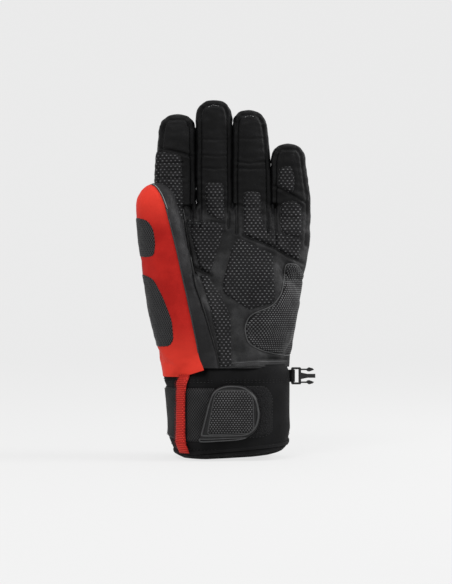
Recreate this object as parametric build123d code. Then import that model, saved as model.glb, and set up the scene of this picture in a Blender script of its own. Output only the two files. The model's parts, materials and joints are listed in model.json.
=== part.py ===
"""Ski glove for a left hand, standing on its cuff: fingers up (+Z), palm to the front (-Y), thumb on -X.

Origin: centre of the hand opening, on the hem's resting plane. Millimetres.
Every digit is a stack of layers (leather or fabric shell, then padded liner) that share one outline at
different insets. A digit is cut across at each crease, and the pieces above a crease turn about it.
"""

import math
import os
from collections import namedtuple

from build123d import *

# ---- driving dimensions ---------------------------------------------------------------------------
SHELL = 1.4  # leather and softshell
LAYER_GAP = 0.1  # air between neighbouring layers
WALL = 5.0  # shell and padded liner together
FOLD_GAP = 0.3  # air at a crease, between the pieces that turn
CORNER = 0.46  # corner radius of a section, as a share of its shorter side
PATCH = 1.1  # grip patches
CREASE_OUT = PATCH + 0.5  # how far a crease's axis lies outside the palm-side surface

WRIST_Z = 71.0  # seam between the hand and the cuff
CUFF_X = (-45.5, 49.1)
CUFF_Y = (-30.0, 30.0)
CUFF_WALL = 3.0
HEM_HEIGHT = 9.0
HEM_RISES = [  # the two planes that lift the hem's front right corner: a point, rise along x, rise along y
    ((7.0, -30.0), 0.239, -0.104),
    ((27.86, -24.0), 0.774, -0.0875),
]

STRAP_Z = (12.5, 56.0)
STRAP_TURN = 27.0  # where the strap folds back, in degrees round the cuff's front left corner
STRAP_HINGE_OUT = 2.3  # the fold line, outside the cuff's surface
TAB_X = (-21.0, 25.5)
TAB_Z = (15.0, 57.5)

LOOP_Z = 64.2  # middle height of the buckle and its webbing loop
LOOP_SPAN = 9.6
BAR_X = 52.3
BUCKLE_DEPTH = 3.6

# a digit's cross-sections: height, left, right, palm side, back side
Section = namedtuple("Section", "z left right palm back")

HAND = [
    Section(WRIST_Z, -49.0, 49.4, -28.0, 28.0),
    Section(100.0, -50.4, 52.6, -25.5, 26.5),
    Section(130.0, -52.0, 57.4, -21.5, 23.5),
    Section(160.0, -55.4, 62.6, -17.0, 19.0),
    Section(182.0, -58.0, 65.3, -14.2, 15.0),
    Section(200.0, -58.4, 65.5, -13.6, 13.8),
]

# per finger: straight sections, then the fingertip's top and its middle
Finger = namedtuple("Finger", "sections top tip_x knuckle_z bend_z knuckle_max bend_max")
FINGERS = {
    "index": Finger(
        [
            Section(180.0, -58.1, -24.1, -13.4, 13.2),
            Section(222.0, -55.4, -24.3, -14.6, 11.4),
            Section(254.0, -52.4, -24.9, -17.8, 6.8),
        ],
        269.4, -37.8, 196.0, 220.0, 30.0, 75.0,
    ),
    "middle": Finger(
        [
            Section(180.0, -23.3, 4.6, -13.6, 13.6),
            Section(226.0, -23.3, 4.6, -14.8, 12.0),
            Section(265.0, -23.2, 4.3, -18.8, 7.0),
        ],
        280.3, -9.6, 197.0, 226.0, 60.0, 80.0,
    ),
    "ring": Finger(
        [
            Section(176.0, 5.3, 35.2, -13.4, 13.2),
            Section(222.0, 5.4, 34.1, -14.6, 11.6),
            Section(257.0, 5.6, 30.9, -18.0, 6.8),
        ],
        272.7, 17.5, 193.0, 221.0, 60.0, 80.0,
    ),
    "little": Finger(
        [
            Section(166.0, 35.9, 65.4, -13.0, 12.4),
            Section(206.0, 35.9, 64.9, -13.6, 10.6),
            Section(232.0, 36.3, 61.9, -16.0, 7.0),
        ],
        246.5, 48.6, 184.0, 205.5, 60.0, 80.0,
    ),
}

# the thumb's straight axis, and its sections along that axis: distance, half width, half depth
THUMB_FOOT = Vector(-31.5, -12.0, 80.0)
THUMB_TOP = Vector(-56.4, -46.0, 213.2)
THUMB_SECTIONS = [
    (0.0, 23.0, 18.0), (38.0, 22.4, 16.5), (68.0, 21.4, 15.6), (96.0, 19.4, 14.8), (120.0, 16.6, 14.0)
]
THUMB_FACES = Vector(-0.839, -0.545, 0.0)  # the way the back of the thumb looks
THUMB_OPEN_Z = 150.0  # the crease at the thumb's root, at its outer edge
THUMB_BEND_Z = 189.5
THUMB_OPEN_MAX = 35.0
THUMB_BEND_MAX = 40.0
DOME = (0.4, 0.7, 0.9, 0.98)  # heights of the sections in a rounded tip, as shares of its height
FAR = 400.0


def oval(section, inset):
    """One rounded section, pulled in by inset all round."""
    width = section.right - section.left - 2 * inset
    depth = section.back - section.palm - 2 * inset
    middle = ((section.left + section.right) / 2, (section.palm + section.back) / 2, section.z)
    return Pos(*middle) * RectangleRounded(width, depth, CORNER * min(width, depth))


def below(solid, z):
    return solid & Pos(0, 0, z - FAR / 2) * Box(FAR, FAR, FAR)


def above(solid, z):
    return solid & Pos(0, 0, z + FAR / 2) * Box(FAR, FAR, FAR)


def front(solid, y=0.0):
    return solid & Pos(0, y - FAR / 2, 0) * Box(FAR, FAR, 2 * FAR)


def back(solid, y=0.0):
    return solid & Pos(0, y + FAR / 2, 0) * Box(FAR, FAR, 2 * FAR)


def hand(inset):
    return loft([oval(s, inset) for s in HAND], ruled=True)


def tip_sections(last, top, tip_x, inset):
    """The sections that round a fingertip off, from the last straight one up to its top."""
    rise = top - last.z
    for share in DOME:
        shrink = math.sqrt(1 - share**2)
        grow = inset * (1 - shrink) / 2  # the inset is taken off the radius, so less of it off a small section
        half = shrink * (last.right - last.left) / 2 + grow
        deep = shrink * (last.back - last.palm) / 2 + grow
        x = (last.left + last.right) / 2 + share * (tip_x - (last.left + last.right) / 2)
        y = (last.palm + last.back) / 2 - 1.5 * share
        yield Section(last.z + share * (rise - inset), x - half, x + half, y - deep, y + deep)


def finger(spec, inset):
    last = spec.sections[-1]
    sections = [*spec.sections, *tip_sections(last, spec.top, spec.tip_x, inset)]
    insets = [inset if s.z <= last.z else min(inset, 0.3 * (s.right - s.left)) for s in sections]
    return loft([oval(s, i) for s, i in zip(sections, insets)], ruled=True)


def thumb_plane(distance):
    along = (THUMB_TOP - THUMB_FOOT).normalized()
    return Plane(THUMB_FOOT + along * distance, x_dir=(along.Z, 0, -along.X), z_dir=along)


def thumb(inset):
    """The thumb's outline round its own axis, from inside the palm to its rounded tip."""
    length = (THUMB_TOP - THUMB_FOOT).length
    foot, wide, deep = THUMB_SECTIONS[-1]
    rows = [(d, w - inset, t - inset) for d, w, t in THUMB_SECTIONS]
    for share in DOME:
        shrink = math.sqrt(1 - share**2)
        rows.append((foot + share * (length - foot - inset), (wide - inset) * shrink, (deep - inset) * shrink))
    faces = [thumb_plane(d) * RectangleRounded(2 * w, 2 * t, 0.9 * min(w, t)) for d, w, t in rows]
    return loft(faces, ruled=True)


def thumb_span(solid, low, high):
    """The stretch of a thumb solid between two distances along its axis."""
    slab = thumb_plane((low + high) / 2) * Box(FAR, FAR, high - low)
    return solid & slab


def thumb_side(solid, outer):
    """The thumb's back (outer) or its palm side, either side of a plane through its axis."""
    along = (THUMB_TOP - THUMB_FOOT).normalized()
    facing = (THUMB_FACES - along * THUMB_FACES.dot(along)).normalized()
    side = facing if outer else facing * -1
    middle = THUMB_FOOT + side * (FAR / 2) + along * (FAR / 4)
    return solid & Plane(middle, x_dir=along, z_dir=side) * Box(FAR, FAR, FAR)


def thumb_distance(z):
    """How far along the thumb's axis its outer edge reaches height z."""
    along = (THUMB_TOP - THUMB_FOOT).normalized()
    return (z - THUMB_FOOT.Z) / along.Z - abs(along.X / along.Z) * 20.0


def cuff_oval(out):
    """The cuff's outline in plan, moved outwards by out."""
    width, depth = CUFF_X[1] - CUFF_X[0], CUFF_Y[1] - CUFF_Y[0]
    shape = RectangleRounded(width + 2 * out, depth + 2 * out, CORNER * depth + out)
    return Pos((CUFF_X[0] + CUFF_X[1]) / 2, (CUFF_Y[0] + CUFF_Y[1]) / 2, 0) * shape


def cuff_ring(low, high, z0, z1):
    """A band round the cuff between two distances from its surface."""
    return Pos(0, 0, z0) * extrude(cuff_oval(high) - cuff_oval(low), z1 - z0)


def cuff_front_y(x):
    """Where the cuff's front surface lies at x."""
    radius = CORNER * (CUFF_Y[1] - CUFF_Y[0])
    past = max(CUFF_X[0] + radius - x, x - (CUFF_X[1] - radius), 0.0)
    return CUFF_Y[0] + radius - math.sqrt(radius**2 - past**2)


def prism(*points, radius=2.5):
    """A front-view outline with rounded corners, run through the glove from front to back."""
    outline = make_face(Polyline(*[(x, z) for x, z in points], close=True).edges())
    outline = fillet(outline.vertices(), radius)
    return Plane.XZ * extrude(outline, FAR / 2, both=True)


def hem_cutter(lift=0.0):
    """Everything under the hem's lower edge at the front right, where it rises to its corner."""
    wedges = None
    for (x, y), slope_x, slope_y in HEM_RISES:
        normal = Vector(-slope_x, -slope_y, 1).normalized()
        plane = Plane(Vector(x, y, lift) - normal * 30, x_dir=(1, 0, slope_x), z_dir=normal)
        wedge = plane * Box(FAR, FAR, 60)
        wedges = wedge if wedges is None else wedges + wedge
    return wedges & Pos(FAR / 2 + 6, 0, lift) * Box(FAR, FAR, 60)


# ---- the hand -------------------------------------------------------------------------------------
def finger_slots(lower=0.0):
    """What the four fingers take out of the top of the hand, each above its own crease."""
    names = list(FINGERS)
    pairs = zip(names, names[1:])
    between = [(FINGERS[a].sections[0].right + FINGERS[b].sections[0].left) / 2 for a, b in pairs]
    edges = [-FAR / 2, *between, FAR / 2]
    slots = []
    for name, left, right in zip(names, edges, edges[1:]):
        z = FINGERS[name].knuckle_z - FOLD_GAP - lower
        slots.append(Pos((left + right) / 2, 0, z + FAR / 2) * Box(right - left, FAR, FAR))
    return slots


def cut(solid, tools):
    for tool in tools:
        solid = solid - tool
    return solid


def hand_layers():
    shell = cut(hand(0) - hand(SHELL), finger_slots())
    shell = above(shell, WRIST_Z + FOLD_GAP)
    thumb_hole = thumb_span(thumb(SHELL), 0, thumb_distance(THUMB_OPEN_Z))
    liner = cut(hand(SHELL + LAYER_GAP) - hand(WALL), finger_slots())
    liner = liner - thumb_span(thumb(WALL), 0, thumb_distance(THUMB_OPEN_Z) + 30)
    cuff_lining = cuff_ring(-CUFF_WALL - 2.3, -CUFF_WALL - 0.7, 2.0, WRIST_Z - 0.2) - hem_cutter(2.0)
    return {
        "palm_leather": front(shell, -FOLD_GAP / 2) - thumb_hole,
        "back_softshell": back(shell, FOLD_GAP / 2) - thumb_hole,
        "hand_liner": Compound(children=[*liner.solids(), *cuff_lining.solids()]),
    }


def thenar_panels():
    """The thumb's foot, where it stands out of the palm below its crease: its outer and its inner side."""
    tube = thumb_span(thumb(0) - thumb(SHELL), 0, thumb_distance(THUMB_OPEN_Z) - FOLD_GAP)
    tube = above(tube - hand(-FOLD_GAP), WRIST_Z + FOLD_GAP)
    return {
        "thenar_panel": biggest(thumb_side(tube, True)),
        "thenar_side_panel": biggest(thumb_side(tube, False) - seam_gap()),
    }


def biggest(solid):
    """The largest single solid of a shape, without the crumbs a cut may leave."""
    return max(solid.solids(), key=lambda s: s.volume)


# ---- the palm's grip patches, as front-view outlines ------------------------------------------------
PALM_PATCHES = {
    "index_mount_patch": [(-32, 187), (-5, 182.5), (-3, 178), (-13, 144), (-22.5, 146), (-27, 160)],
    "palm_centre_patch": [
        (7.5, 172), (35, 159.5), (36.5, 150), (36, 124), (16, 115.5), (-3.5, 129), (-3.5, 140), (4, 164)
    ],
    "thenar_strip_patch": [
        (-22, 142), (-15, 143), (-4, 125), (3, 109), (3, 73), (-6.5, 73), (-7.5, 88), (-13, 115)
    ],
    "knuckle_line_patch": [
        (12.5, 191), (33, 186), (42, 182), (57.5, 182), (57.5, 155.5), (52, 155.5), (38, 164), (13, 175)
    ],
    "heel_patch": [
        (46, 153), (56, 151), (60, 140), (52, 80), (30, 83),
        (17, 89.5), (13, 101), (17, 113), (35, 121), (43, 131)
    ],
}
GUARD_OUTLINE = [
    (-50, 150), (-49, 180), (-20, 189), (8, 189), (30, 184), (52, 172), (54, 146), (20, 154), (-20, 158)
]
FINGER_PATCHES = {
    "index": {"lower": [(-57, 198), (-35, 198), (-34.5, 218.5), (-57, 218.5)],
              "upper": [(-56, 221.5), (-35, 221.5), (-35.5, 232), (-38, 236), (-55, 240)]},
    "middle": {"lower": [(-17.5, 199), (-2.5, 199), (-2, 215), (-17, 215)]},
    "ring": {"lower": [(11.5, 195), (25.5, 195), (25.5, 208), (12, 208)]},
    "little": {"lower": [(41.5, 186), (57.5, 186), (57.5, 199), (41.5, 199)],
               "upper": [(39.5, 214), (52.5, 208.5), (52.5, 228), (40, 228)]},
}


def hand_patches():
    """Grip patches that lie on the palm leather."""
    skin = front(hand(-LAYER_GAP - PATCH) - hand(-LAYER_GAP), -2)
    thumb_room = thumb(-0.4)
    made = {}
    for name, outline in PALM_PATCHES.items():
        made[name] = biggest(cut(skin & prism(*outline), finger_slots(0.6)) - thumb_room)
    return made


def knuckle_guard():
    """The padded guard across the back of the knuckles."""
    skin = back(hand(-3.4) - hand(-LAYER_GAP), 4)
    return biggest(skin & prism(*GUARD_OUTLINE, radius=5))


# ---- fingers and thumb ------------------------------------------------------------------------------
def finger_parts(name, spec):
    """Lower and upper shells and liner of one finger, and its grip patches."""
    outer, inner = finger(spec, 0), finger(spec, SHELL)
    shell = outer - inner
    liner = finger(spec, SHELL + LAYER_GAP) - finger(spec, WALL)
    skin = finger(spec, -LAYER_GAP - PATCH) - finger(spec, -LAYER_GAP)
    split = (spec.sections[1].palm + spec.sections[1].back) / 2
    spans = {
        "lower": lambda s: below(above(s, spec.knuckle_z), spec.bend_z - FOLD_GAP),
        "upper": lambda s: above(s, spec.bend_z),
    }
    made = {}
    for level, span in spans.items():
        made[f"{name}_palm_{level}"] = biggest(front(span(shell), split - FOLD_GAP / 2))
        made[f"{name}_back_{level}"] = biggest(back(span(shell), split + FOLD_GAP / 2))
        made[f"{name}_liner_{level}"] = biggest(span(liner))
        if level in FINGER_PATCHES[name]:
            patch = front(skin, split - 4) & prism(*FINGER_PATCHES[name][level])
            made[f"{name}_patch_{level}"] = biggest(span(patch))
    return made


def thumb_parts():
    length = (THUMB_TOP - THUMB_FOOT).length + 5
    root, bend = thumb_distance(THUMB_OPEN_Z), thumb_distance(THUMB_BEND_Z)
    clear = hand(-FOLD_GAP - 0.2)
    shell = thumb(0) - thumb(SHELL) - clear
    liner = thumb(SHELL + LAYER_GAP) - thumb(WALL) - clear
    spans = {"lower": (root, bend - FOLD_GAP), "upper": (bend, length)}
    made = {}
    for level, (low, high) in spans.items():
        ring = thumb_span(shell, low, high)
        made[f"thumb_back_{level}"] = biggest(thumb_side(ring, True))
        made[f"thumb_palm_{level}"] = biggest(thumb_side(ring, False) - seam_gap())
        made[f"thumb_liner_{level}"] = biggest(thumb_span(liner, low, high))
    skin = thumb_side(thumb(-LAYER_GAP - PATCH) - thumb(-LAYER_GAP), True)
    upper = prism((-80, 186), (-60, 184), (-56, 177), (-55.5, 160), (-58, 156), (-80, 156))
    lower = prism((-80, 146), (-66, 145), (-56, 139), (-49, 124), (-43, 106), (-42.5, 92), (-47, 88.5), (-80, 88.5))
    made["thumb_mesh_patch"] = biggest(thumb_span(skin & upper, root + 0.5, bend - 1))
    foot = above((skin & lower) - hand(-LAYER_GAP - 0.2), WRIST_Z + 4)
    made["thenar_mesh_patch"] = biggest(thumb_span(foot, 0, root - 2 * PATCH))
    return made


def seam_gap():
    """A thin slab along the seam between the thumb's back and its palm side."""
    along = (THUMB_TOP - THUMB_FOOT).normalized()
    facing = (THUMB_FACES - along * THUMB_FACES.dot(along)).normalized()
    return Plane(THUMB_FOOT, x_dir=along, z_dir=facing) * Box(FAR, FAR, FOLD_GAP)


# ---- cuff, strap and buckle -------------------------------------------------------------------------
def cuff_parts():
    """The sleeve, and the binding that wraps its lower edge and follows the lifted corner."""
    lift = HEM_HEIGHT - LAYER_GAP
    sleeve = cuff_ring(-CUFF_WALL, 0, HEM_HEIGHT, WRIST_Z) - hem_cutter(HEM_HEIGHT)
    inner, outer = -CUFF_WALL - 0.6, 0.8
    level = cuff_ring(inner, outer, 0, lift) - hem_cutter()
    raised = cuff_ring(inner, outer, lift, lift + 30) & hem_cutter(lift)
    return sleeve, level + raised


def cuff_band(low, high, *outline, radius=2.5):
    """A piece that lies on the front of the cuff: its front-view outline, and its inner and outer distance."""
    z0, z1 = min(z for _, z in outline) - 1, max(z for _, z in outline) + 1
    return front(cuff_ring(low, high, z0, z1) & prism(*outline, radius=radius))


def tab_outline(shrink=0.0):
    """The pull tab's D: square at the lower left, rounded at the right and the upper left."""
    left, right = TAB_X[0] + shrink, TAB_X[1] - shrink
    low, high = TAB_Z[0] + shrink, TAB_Z[1] - shrink
    return [
        (left, low), (right - 4, low), (right, low + 14), (right - 1, high - 12),
        (right - 9, high), (left + 14, high), (left + 5, high - 8),
    ]


def corner_centre():
    """The middle of the cuff's front left corner, in plan."""
    radius = CORNER * (CUFF_Y[1] - CUFF_Y[0])
    return Vector(CUFF_X[0] + radius, CUFF_Y[0] + radius, 0)


def strap_hinge():
    """A point on the strap's fold line."""
    reach = CORNER * (CUFF_Y[1] - CUFF_Y[0]) + STRAP_HINGE_OUT
    turn = math.radians(STRAP_TURN)
    return corner_centre() + Vector(-math.sin(turn), -math.cos(turn), 0) * reach


def past_fold(solid, forward, gap):
    """The part of a cuff band on the free side of the fold line, or on its sewn side."""
    side = 1 if forward else -1
    box = Pos(side * (FAR / 2 + gap), 0, 0) * Box(FAR, FAR, FAR)
    return solid & Pos(*corner_centre()) * Rot(0, 0, -STRAP_TURN) * box


def strap_parts():
    z0, z1 = STRAP_Z
    band = cuff_band(0.3, 2.1, (-40, z0), (-8.5, z0), (-8.5, z1), (-40, z1), radius=0.8)
    return {
        "strap_band": past_fold(band, True, 0.1),
        "hook_patch": cuff_band(1.3, 2.1, (-7.5, 18), (19, 18), (20, 40), (16, 53), (-7.5, 53), radius=2),
        "tab_pad": cuff_band(2.2, 5.0, *tab_outline(), radius=3),
        "tab_grip_patch": cuff_band(5.1, 6.0, *tab_outline(6.0), radius=3),
    }


def strap_anchor():
    """The sewn stretch of the strap, round the thumb side of the cuff."""
    band = cuff_ring(0.3, 2.1, *STRAP_Z) & Pos(-FAR / 2 - 18, 4, 0) * Box(FAR, 60, FAR)
    return biggest(past_fold(band, False, 0.1))


def buckle_loop():
    """The webbing loop that holds the buckle: two legs from the seam and a round fold over the bar."""
    fold = Circle(2.4) - Circle(1.45)
    legs = Pos((BAR_X + CUFF_X[1] + 0.9) / 2, 0) * Rectangle(BAR_X - CUFF_X[1] - 0.9, 1.9)
    profile = (Pos(BAR_X, 0) * fold) + (legs - Pos(BAR_X, 0) * Circle(1.45))
    return Pos(0, 0, LOOP_Z - LOOP_SPAN / 2) * extrude(profile, LOOP_SPAN)


def buckle_tongue():
    """The plug half of a side-release buckle: bar, frame, middle prong and two latch arms, lying in X-Z."""
    half = 6.7  # half its height
    frame_x, slot_x = (BAR_X - 1.0, 59.0), (BAR_X + 1.3, 57.0)
    frame = Pos((frame_x[0] + frame_x[1]) / 2, 0) * RectangleRounded(frame_x[1] - frame_x[0], 2 * half, 1.0)
    window = Pos((slot_x[0] + slot_x[1]) / 2 - 1.5, 0) * Rectangle(slot_x[1] - slot_x[0] + 3, 2 * half - 3)
    frame = frame - window
    prong = [(58.8, 2.6), (64, 1.5), (70.2, 1.5), (70.2, -1.5), (64, -1.5), (58.8, -2.6)]
    arm = [
        (58.8, 5.6), (63.5, 5.6), (65.2, 6.7), (68.2, 5.9), (69.2, 4.8), (65.5, 3.4), (64.2, 3.6), (63, 4.5), (58.8, 4.5)
    ]
    prong, arm = [make_face(Polyline(*outline, close=True).edges()) for outline in (prong, arm)]
    flat = frame + prong + arm + mirror(arm, about=Plane.XZ)
    body = Plane.XZ * extrude(flat, BUCKLE_DEPTH / 2, both=True)
    bar = Pos(BAR_X, 0, 0) * Cylinder(1.15, 2 * half - 2)
    return Pos(0, 0, LOOP_Z) * (body + bar)


def build():
    parts = dict(hand_layers())
    parts.update(thenar_panels())
    parts.update(hand_patches())
    parts["knuckle_guard"] = knuckle_guard()
    for name, spec in FINGERS.items():
        parts.update(finger_parts(name, spec))
    parts.update(thumb_parts())
    parts["cuff_sleeve"], parts["hem_binding"] = cuff_parts()
    parts["loop_patch"] = cuff_band(0.1, 1.0, (-6.5, 16), (31, 16), (34.5, 20), (34.5, 50), (31, 56), (-6.5, 56))
    parts["strap_anchor"] = strap_anchor()
    parts["pull_webbing"] = cuff_band(2.3, 3.8, (-41.3, 4), (-33.6, 4), (-33.6, 66), (-41.3, 66), radius=0.6)
    parts.update(strap_parts())
    parts["buckle_loop"] = buckle_loop()
    parts["buckle_tongue"] = buckle_tongue()
    return parts


if __name__ == "__main__":
    os.makedirs("parts", exist_ok=True)
    for node, shape in build().items():
        export_step(shape, f"parts/{node}.step")
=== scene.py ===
"""Looks for a left-hand ski glove that stands on its cuff: fingers +Z, palm -Y, thumb -X, clip +X. Metres.

One padded skin covers the whole hand. It is swollen as cloth, given its seams and creases, and then shared
out between the CAD bodies at cuts that every layer on it (grip panels, piping, stitching) repeats.
"""

import json
import math

import bmesh
import bpy
import numpy as np
from mathutils import Matrix, Vector
from mathutils.bvhtree import BVHTree

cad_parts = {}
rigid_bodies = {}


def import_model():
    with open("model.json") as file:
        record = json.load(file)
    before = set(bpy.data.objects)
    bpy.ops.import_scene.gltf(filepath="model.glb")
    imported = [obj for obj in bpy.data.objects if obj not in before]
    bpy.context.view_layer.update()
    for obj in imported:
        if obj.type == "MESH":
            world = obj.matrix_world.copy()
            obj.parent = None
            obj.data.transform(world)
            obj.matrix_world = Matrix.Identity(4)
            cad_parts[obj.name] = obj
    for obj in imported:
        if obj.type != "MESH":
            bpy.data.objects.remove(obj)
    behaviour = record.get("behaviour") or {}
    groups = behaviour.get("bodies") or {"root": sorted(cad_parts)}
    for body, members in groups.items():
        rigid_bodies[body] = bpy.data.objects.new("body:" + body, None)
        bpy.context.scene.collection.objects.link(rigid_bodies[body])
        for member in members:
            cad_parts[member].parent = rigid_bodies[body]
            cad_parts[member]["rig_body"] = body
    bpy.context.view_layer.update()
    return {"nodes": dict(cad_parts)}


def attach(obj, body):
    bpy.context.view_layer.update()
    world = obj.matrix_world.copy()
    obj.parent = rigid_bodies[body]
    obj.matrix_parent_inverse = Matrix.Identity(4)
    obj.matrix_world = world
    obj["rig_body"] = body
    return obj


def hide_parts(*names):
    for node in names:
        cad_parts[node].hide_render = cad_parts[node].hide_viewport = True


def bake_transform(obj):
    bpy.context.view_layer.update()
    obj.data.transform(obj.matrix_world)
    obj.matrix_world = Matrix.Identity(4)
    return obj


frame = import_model()

MM = 0.001
FINGERS = ("index", "middle", "ring", "little")

# ---- camera, light and floor ------------------------------------------------------------------------
VIEW_CENTRE = Vector((0.0, -0.012, 0.1301))
VIEW_HEIGHT = 0.4555
LENS = 110.0


def set_camera():
    data = bpy.data.cameras.new("camera")
    data.lens = LENS
    camera = bpy.data.objects.new("camera", data)
    bpy.context.scene.collection.objects.link(camera)
    distance = VIEW_HEIGHT * LENS / data.sensor_width
    camera.location = VIEW_CENTRE + Vector((0, -distance, 0))
    camera.rotation_euler = (math.radians(90), 0, 0)
    bpy.context.scene.camera = camera


def soft_light(name, place, target, size, power):
    data = bpy.data.lights.new(name, "AREA")
    data.shape = "DISK"
    data.size = size
    data.energy = power
    light = bpy.data.objects.new(name, data)
    light.location = place
    light.rotation_mode = "QUATERNION"
    light.rotation_quaternion = (Vector(target) - Vector(place)).to_track_quat("-Z", "Y")
    bpy.context.scene.collection.objects.link(light)


def new_object(name, bm, materials=(), smooth=True):
    """A mesh object at the origin, from a bmesh in metres."""
    mesh = bpy.data.meshes.new(name)
    bm.to_mesh(mesh)
    bm.free()
    for material in materials:
        mesh.materials.append(material)
    mesh.shade_smooth() if smooth else mesh.shade_flat()
    piece = bpy.data.objects.new(name, mesh)
    bpy.context.scene.collection.objects.link(piece)
    return piece


# ---- shader maths -----------------------------------------------------------------------------------
class Value:
    """A number socket that takes Python's operators."""

    def __init__(self, paint, socket):
        self.paint, self.socket = paint, socket

    def math(self, operation, *others, clamp=False):
        sockets = {0: self}
        sockets.update({i + 1: other for i, other in enumerate(others)})
        return self.paint.node("ShaderNodeMath", {"operation": operation, "use_clamp": clamp}, sockets)

    def __add__(self, other):
        return self.math("ADD", other)

    def __sub__(self, other):
        return self.math("SUBTRACT", other)

    def __mul__(self, other):
        return self.math("MULTIPLY", other)

    def __truediv__(self, other):
        return self.math("DIVIDE", other)

    def __radd__(self, other):
        return self + other

    def __rmul__(self, other):
        return self * other

    def __rsub__(self, other):
        return self.math("MULTIPLY_ADD", -1.0, other)

    def fraction(self):
        return self.math("FRACT")

    def floor(self):
        return self.math("FLOOR")

    def size(self):
        return self.math("ABSOLUTE")

    def above(self, low, high):
        """0 below low, 1 above high, smooth between."""
        settings = {"interpolation_type": "SMOOTHSTEP"}
        return self.paint.node("ShaderNodeMapRange", settings, {0: self, 1: low, 2: high, 3: 0.0, 4: 1.0})


class Paint:
    """One material and the nodes it is made of."""

    def __init__(self, name, base, roughness, **constants):
        self.material = bpy.data.materials.new(name)
        self.material.use_nodes = True
        self.tree = self.material.node_tree
        self.shader = self.tree.nodes["Principled BSDF"]
        self.material.diffuse_color = (*base, 1)
        self.set("Base Color", (*base, 1))
        self.set("Roughness", roughness)
        for socket, value in constants.items():
            self.set(socket.replace("_", " "), value)

    def set(self, socket, value):
        target = self.shader.inputs[socket]
        if isinstance(value, Value):
            self.tree.links.new(value.socket, target)
        else:
            target.default_value = value

    def node(self, kind, settings, sockets, output=0):
        made = self.tree.nodes.new(kind)
        for key, value in settings.items():
            setattr(made, key, value)
        for key, value in sockets.items():
            if isinstance(value, Value):
                self.tree.links.new(value.socket, made.inputs[key])
            else:
                made.inputs[key].default_value = value
        return Value(self, made.outputs[output])

    def place(self, attribute="rest"):
        """Where the point lay at rest, or on the flat work, in millimetres: the vector and its x, y, z."""
        rest = self.node("ShaderNodeAttribute", {"attribute_name": attribute}, {}, "Vector")
        xyz = self.tree.nodes.new("ShaderNodeSeparateXYZ")
        self.tree.links.new(rest.socket, xyz.inputs[0])
        return rest, *[Value(self, xyz.outputs[i]) for i in range(3)]

    def own_place(self):
        """Where the point lies on its own object, in millimetres."""
        place = self.node("ShaderNodeTexCoord", {}, {}, "Object")
        return self.node("ShaderNodeVectorMath", {"operation": "SCALE"}, {0: place, "Scale": 1 / MM})

    def noise(self, vector, scale, detail=2.0, roughness=0.5):
        sockets = {"Vector": vector, "Scale": scale, "Detail": detail, "Roughness": roughness}
        return self.node("ShaderNodeTexNoise", {}, sockets)

    def cells(self, vector, scale, feature="DISTANCE_TO_EDGE"):
        return self.node("ShaderNodeTexVoronoi", {"feature": feature}, {"Vector": vector, "Scale": scale})

    def blend(self, factor, first, second):
        """A colour between two."""
        sockets = {0: factor, 6: first if isinstance(first, Value) else (*first, 1),
                   7: second if isinstance(second, Value) else (*second, 1)}
        return self.node("ShaderNodeMix", {"data_type": "RGBA"}, sockets, 2)

    def bump(self, height, depth, strength=1.0, over=None):
        """Bumps depth millimetres deep; over is a bump these lie on."""
        sockets = {"Height": height, "Distance": depth * MM, "Strength": strength}
        if over is not None:
            sockets["Normal"] = over
        return self.node("ShaderNodeBump", {}, sockets)


# ---- the padded skin --------------------------------------------------------------------------------
# sections in millimetres: height, left, right, palm side, back side
HAND = (
    (56, -46.5, 48.0, -29.4, 28.8),
    (72, -48.5, 49.2, -29.0, 28.4),
    (84, -49.2, 50.6, -26.6, 27.2),
    (100, -50.0, 52.4, -24.0, 26.0),
    (130, -52.0, 57.2, -19.0, 22.5),
    (160, -55.0, 62.2, -14.5, 18.0),
    (182, -57.5, 65.0, -12.6, 14.6),
    (196, -58.0, 65.2, -12.0, 13.0),
)
DIGITS = {
    "index": ((150, -57.0, -23.4, -12.0, 13.5), (180, -57.9, -23.4, -13.2, 13.2),
              (200, -56.9, -23.2, -13.8, 12.4),
              (222, -55.6, -23.2, -14.6, 11.2), (254, -52.9, -23.8, -17.8, 6.8)),
    "middle": ((150, -23.6, 4.8, -11.5, 13.8), (180, -23.5, 5.1, -13.3, 13.6), (200, -23.6, 5.7, -14.0, 13.0),
               (226, -23.8, 5.7, -14.8, 12.0), (265, -23.6, 5.2, -18.8, 7.0)),
    "ring": ((150, 5.2, 36.0, -11.5, 13.5), (176, 5.0, 35.9, -13.0, 13.2), (200, 4.4, 36.2, -13.8, 12.4),
             (222, 4.3, 36.3, -14.6, 11.6), (257, 5.1, 32.8, -18.0, 6.8)),
    "little": ((140, 36.5, 64.0, -11.0, 12.5), (166, 36.0, 65.6, -12.4, 12.4), (190, 35.2, 66.6, -13.0, 11.6),
               (206, 34.9, 66.2, -13.6, 10.6), (232, 34.9, 62.6, -16.0, 7.0)),
}
TIPS = {"index": (269.4, -37.8), "middle": (280.3, -9.6), "ring": (272.7, 17.5), "little": (246.5, 48.6)}
SPREAD = {"index": -14.0, "middle": -5.0, "ring": 5.0, "little": 14.0}
SPREAD_FROM, SPREAD_FULL = 172.0, 222.0
WEBS = np.array([999.0, 194.0, 196.0, 196.0, 185.0, 999.0])  # where each digit comes free
THUMB_FOOT, THUMB_TOP = Vector((-31.5, -12.0, 80.0)), Vector((-56.0, -45.5, 210.8))
THUMB = ((-22, 20.0, 14.0), (-6, 21.0, 15.0), (12, 22.6, 17.0), (38, 22.4, 16.5), (68, 20.8, 15.4),
         (96, 19.0, 14.8), (120, 16.6, 14.0))
THUMB_OUTWARD = Vector((-0.839, -0.545, 0.0))
HEEL_PAD = ((33.0, -12.0, 112.0), (20.0, 14.5, 40.0))
THUMB_PAD = ((-20.0, -12.0, 108.0), (22.0, 14.0, 34.0))
DOME = (0.3, 0.55, 0.75, 0.9, 0.975)
SLACK = 0.9  # the skin starts this much smaller, before it is swollen


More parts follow.
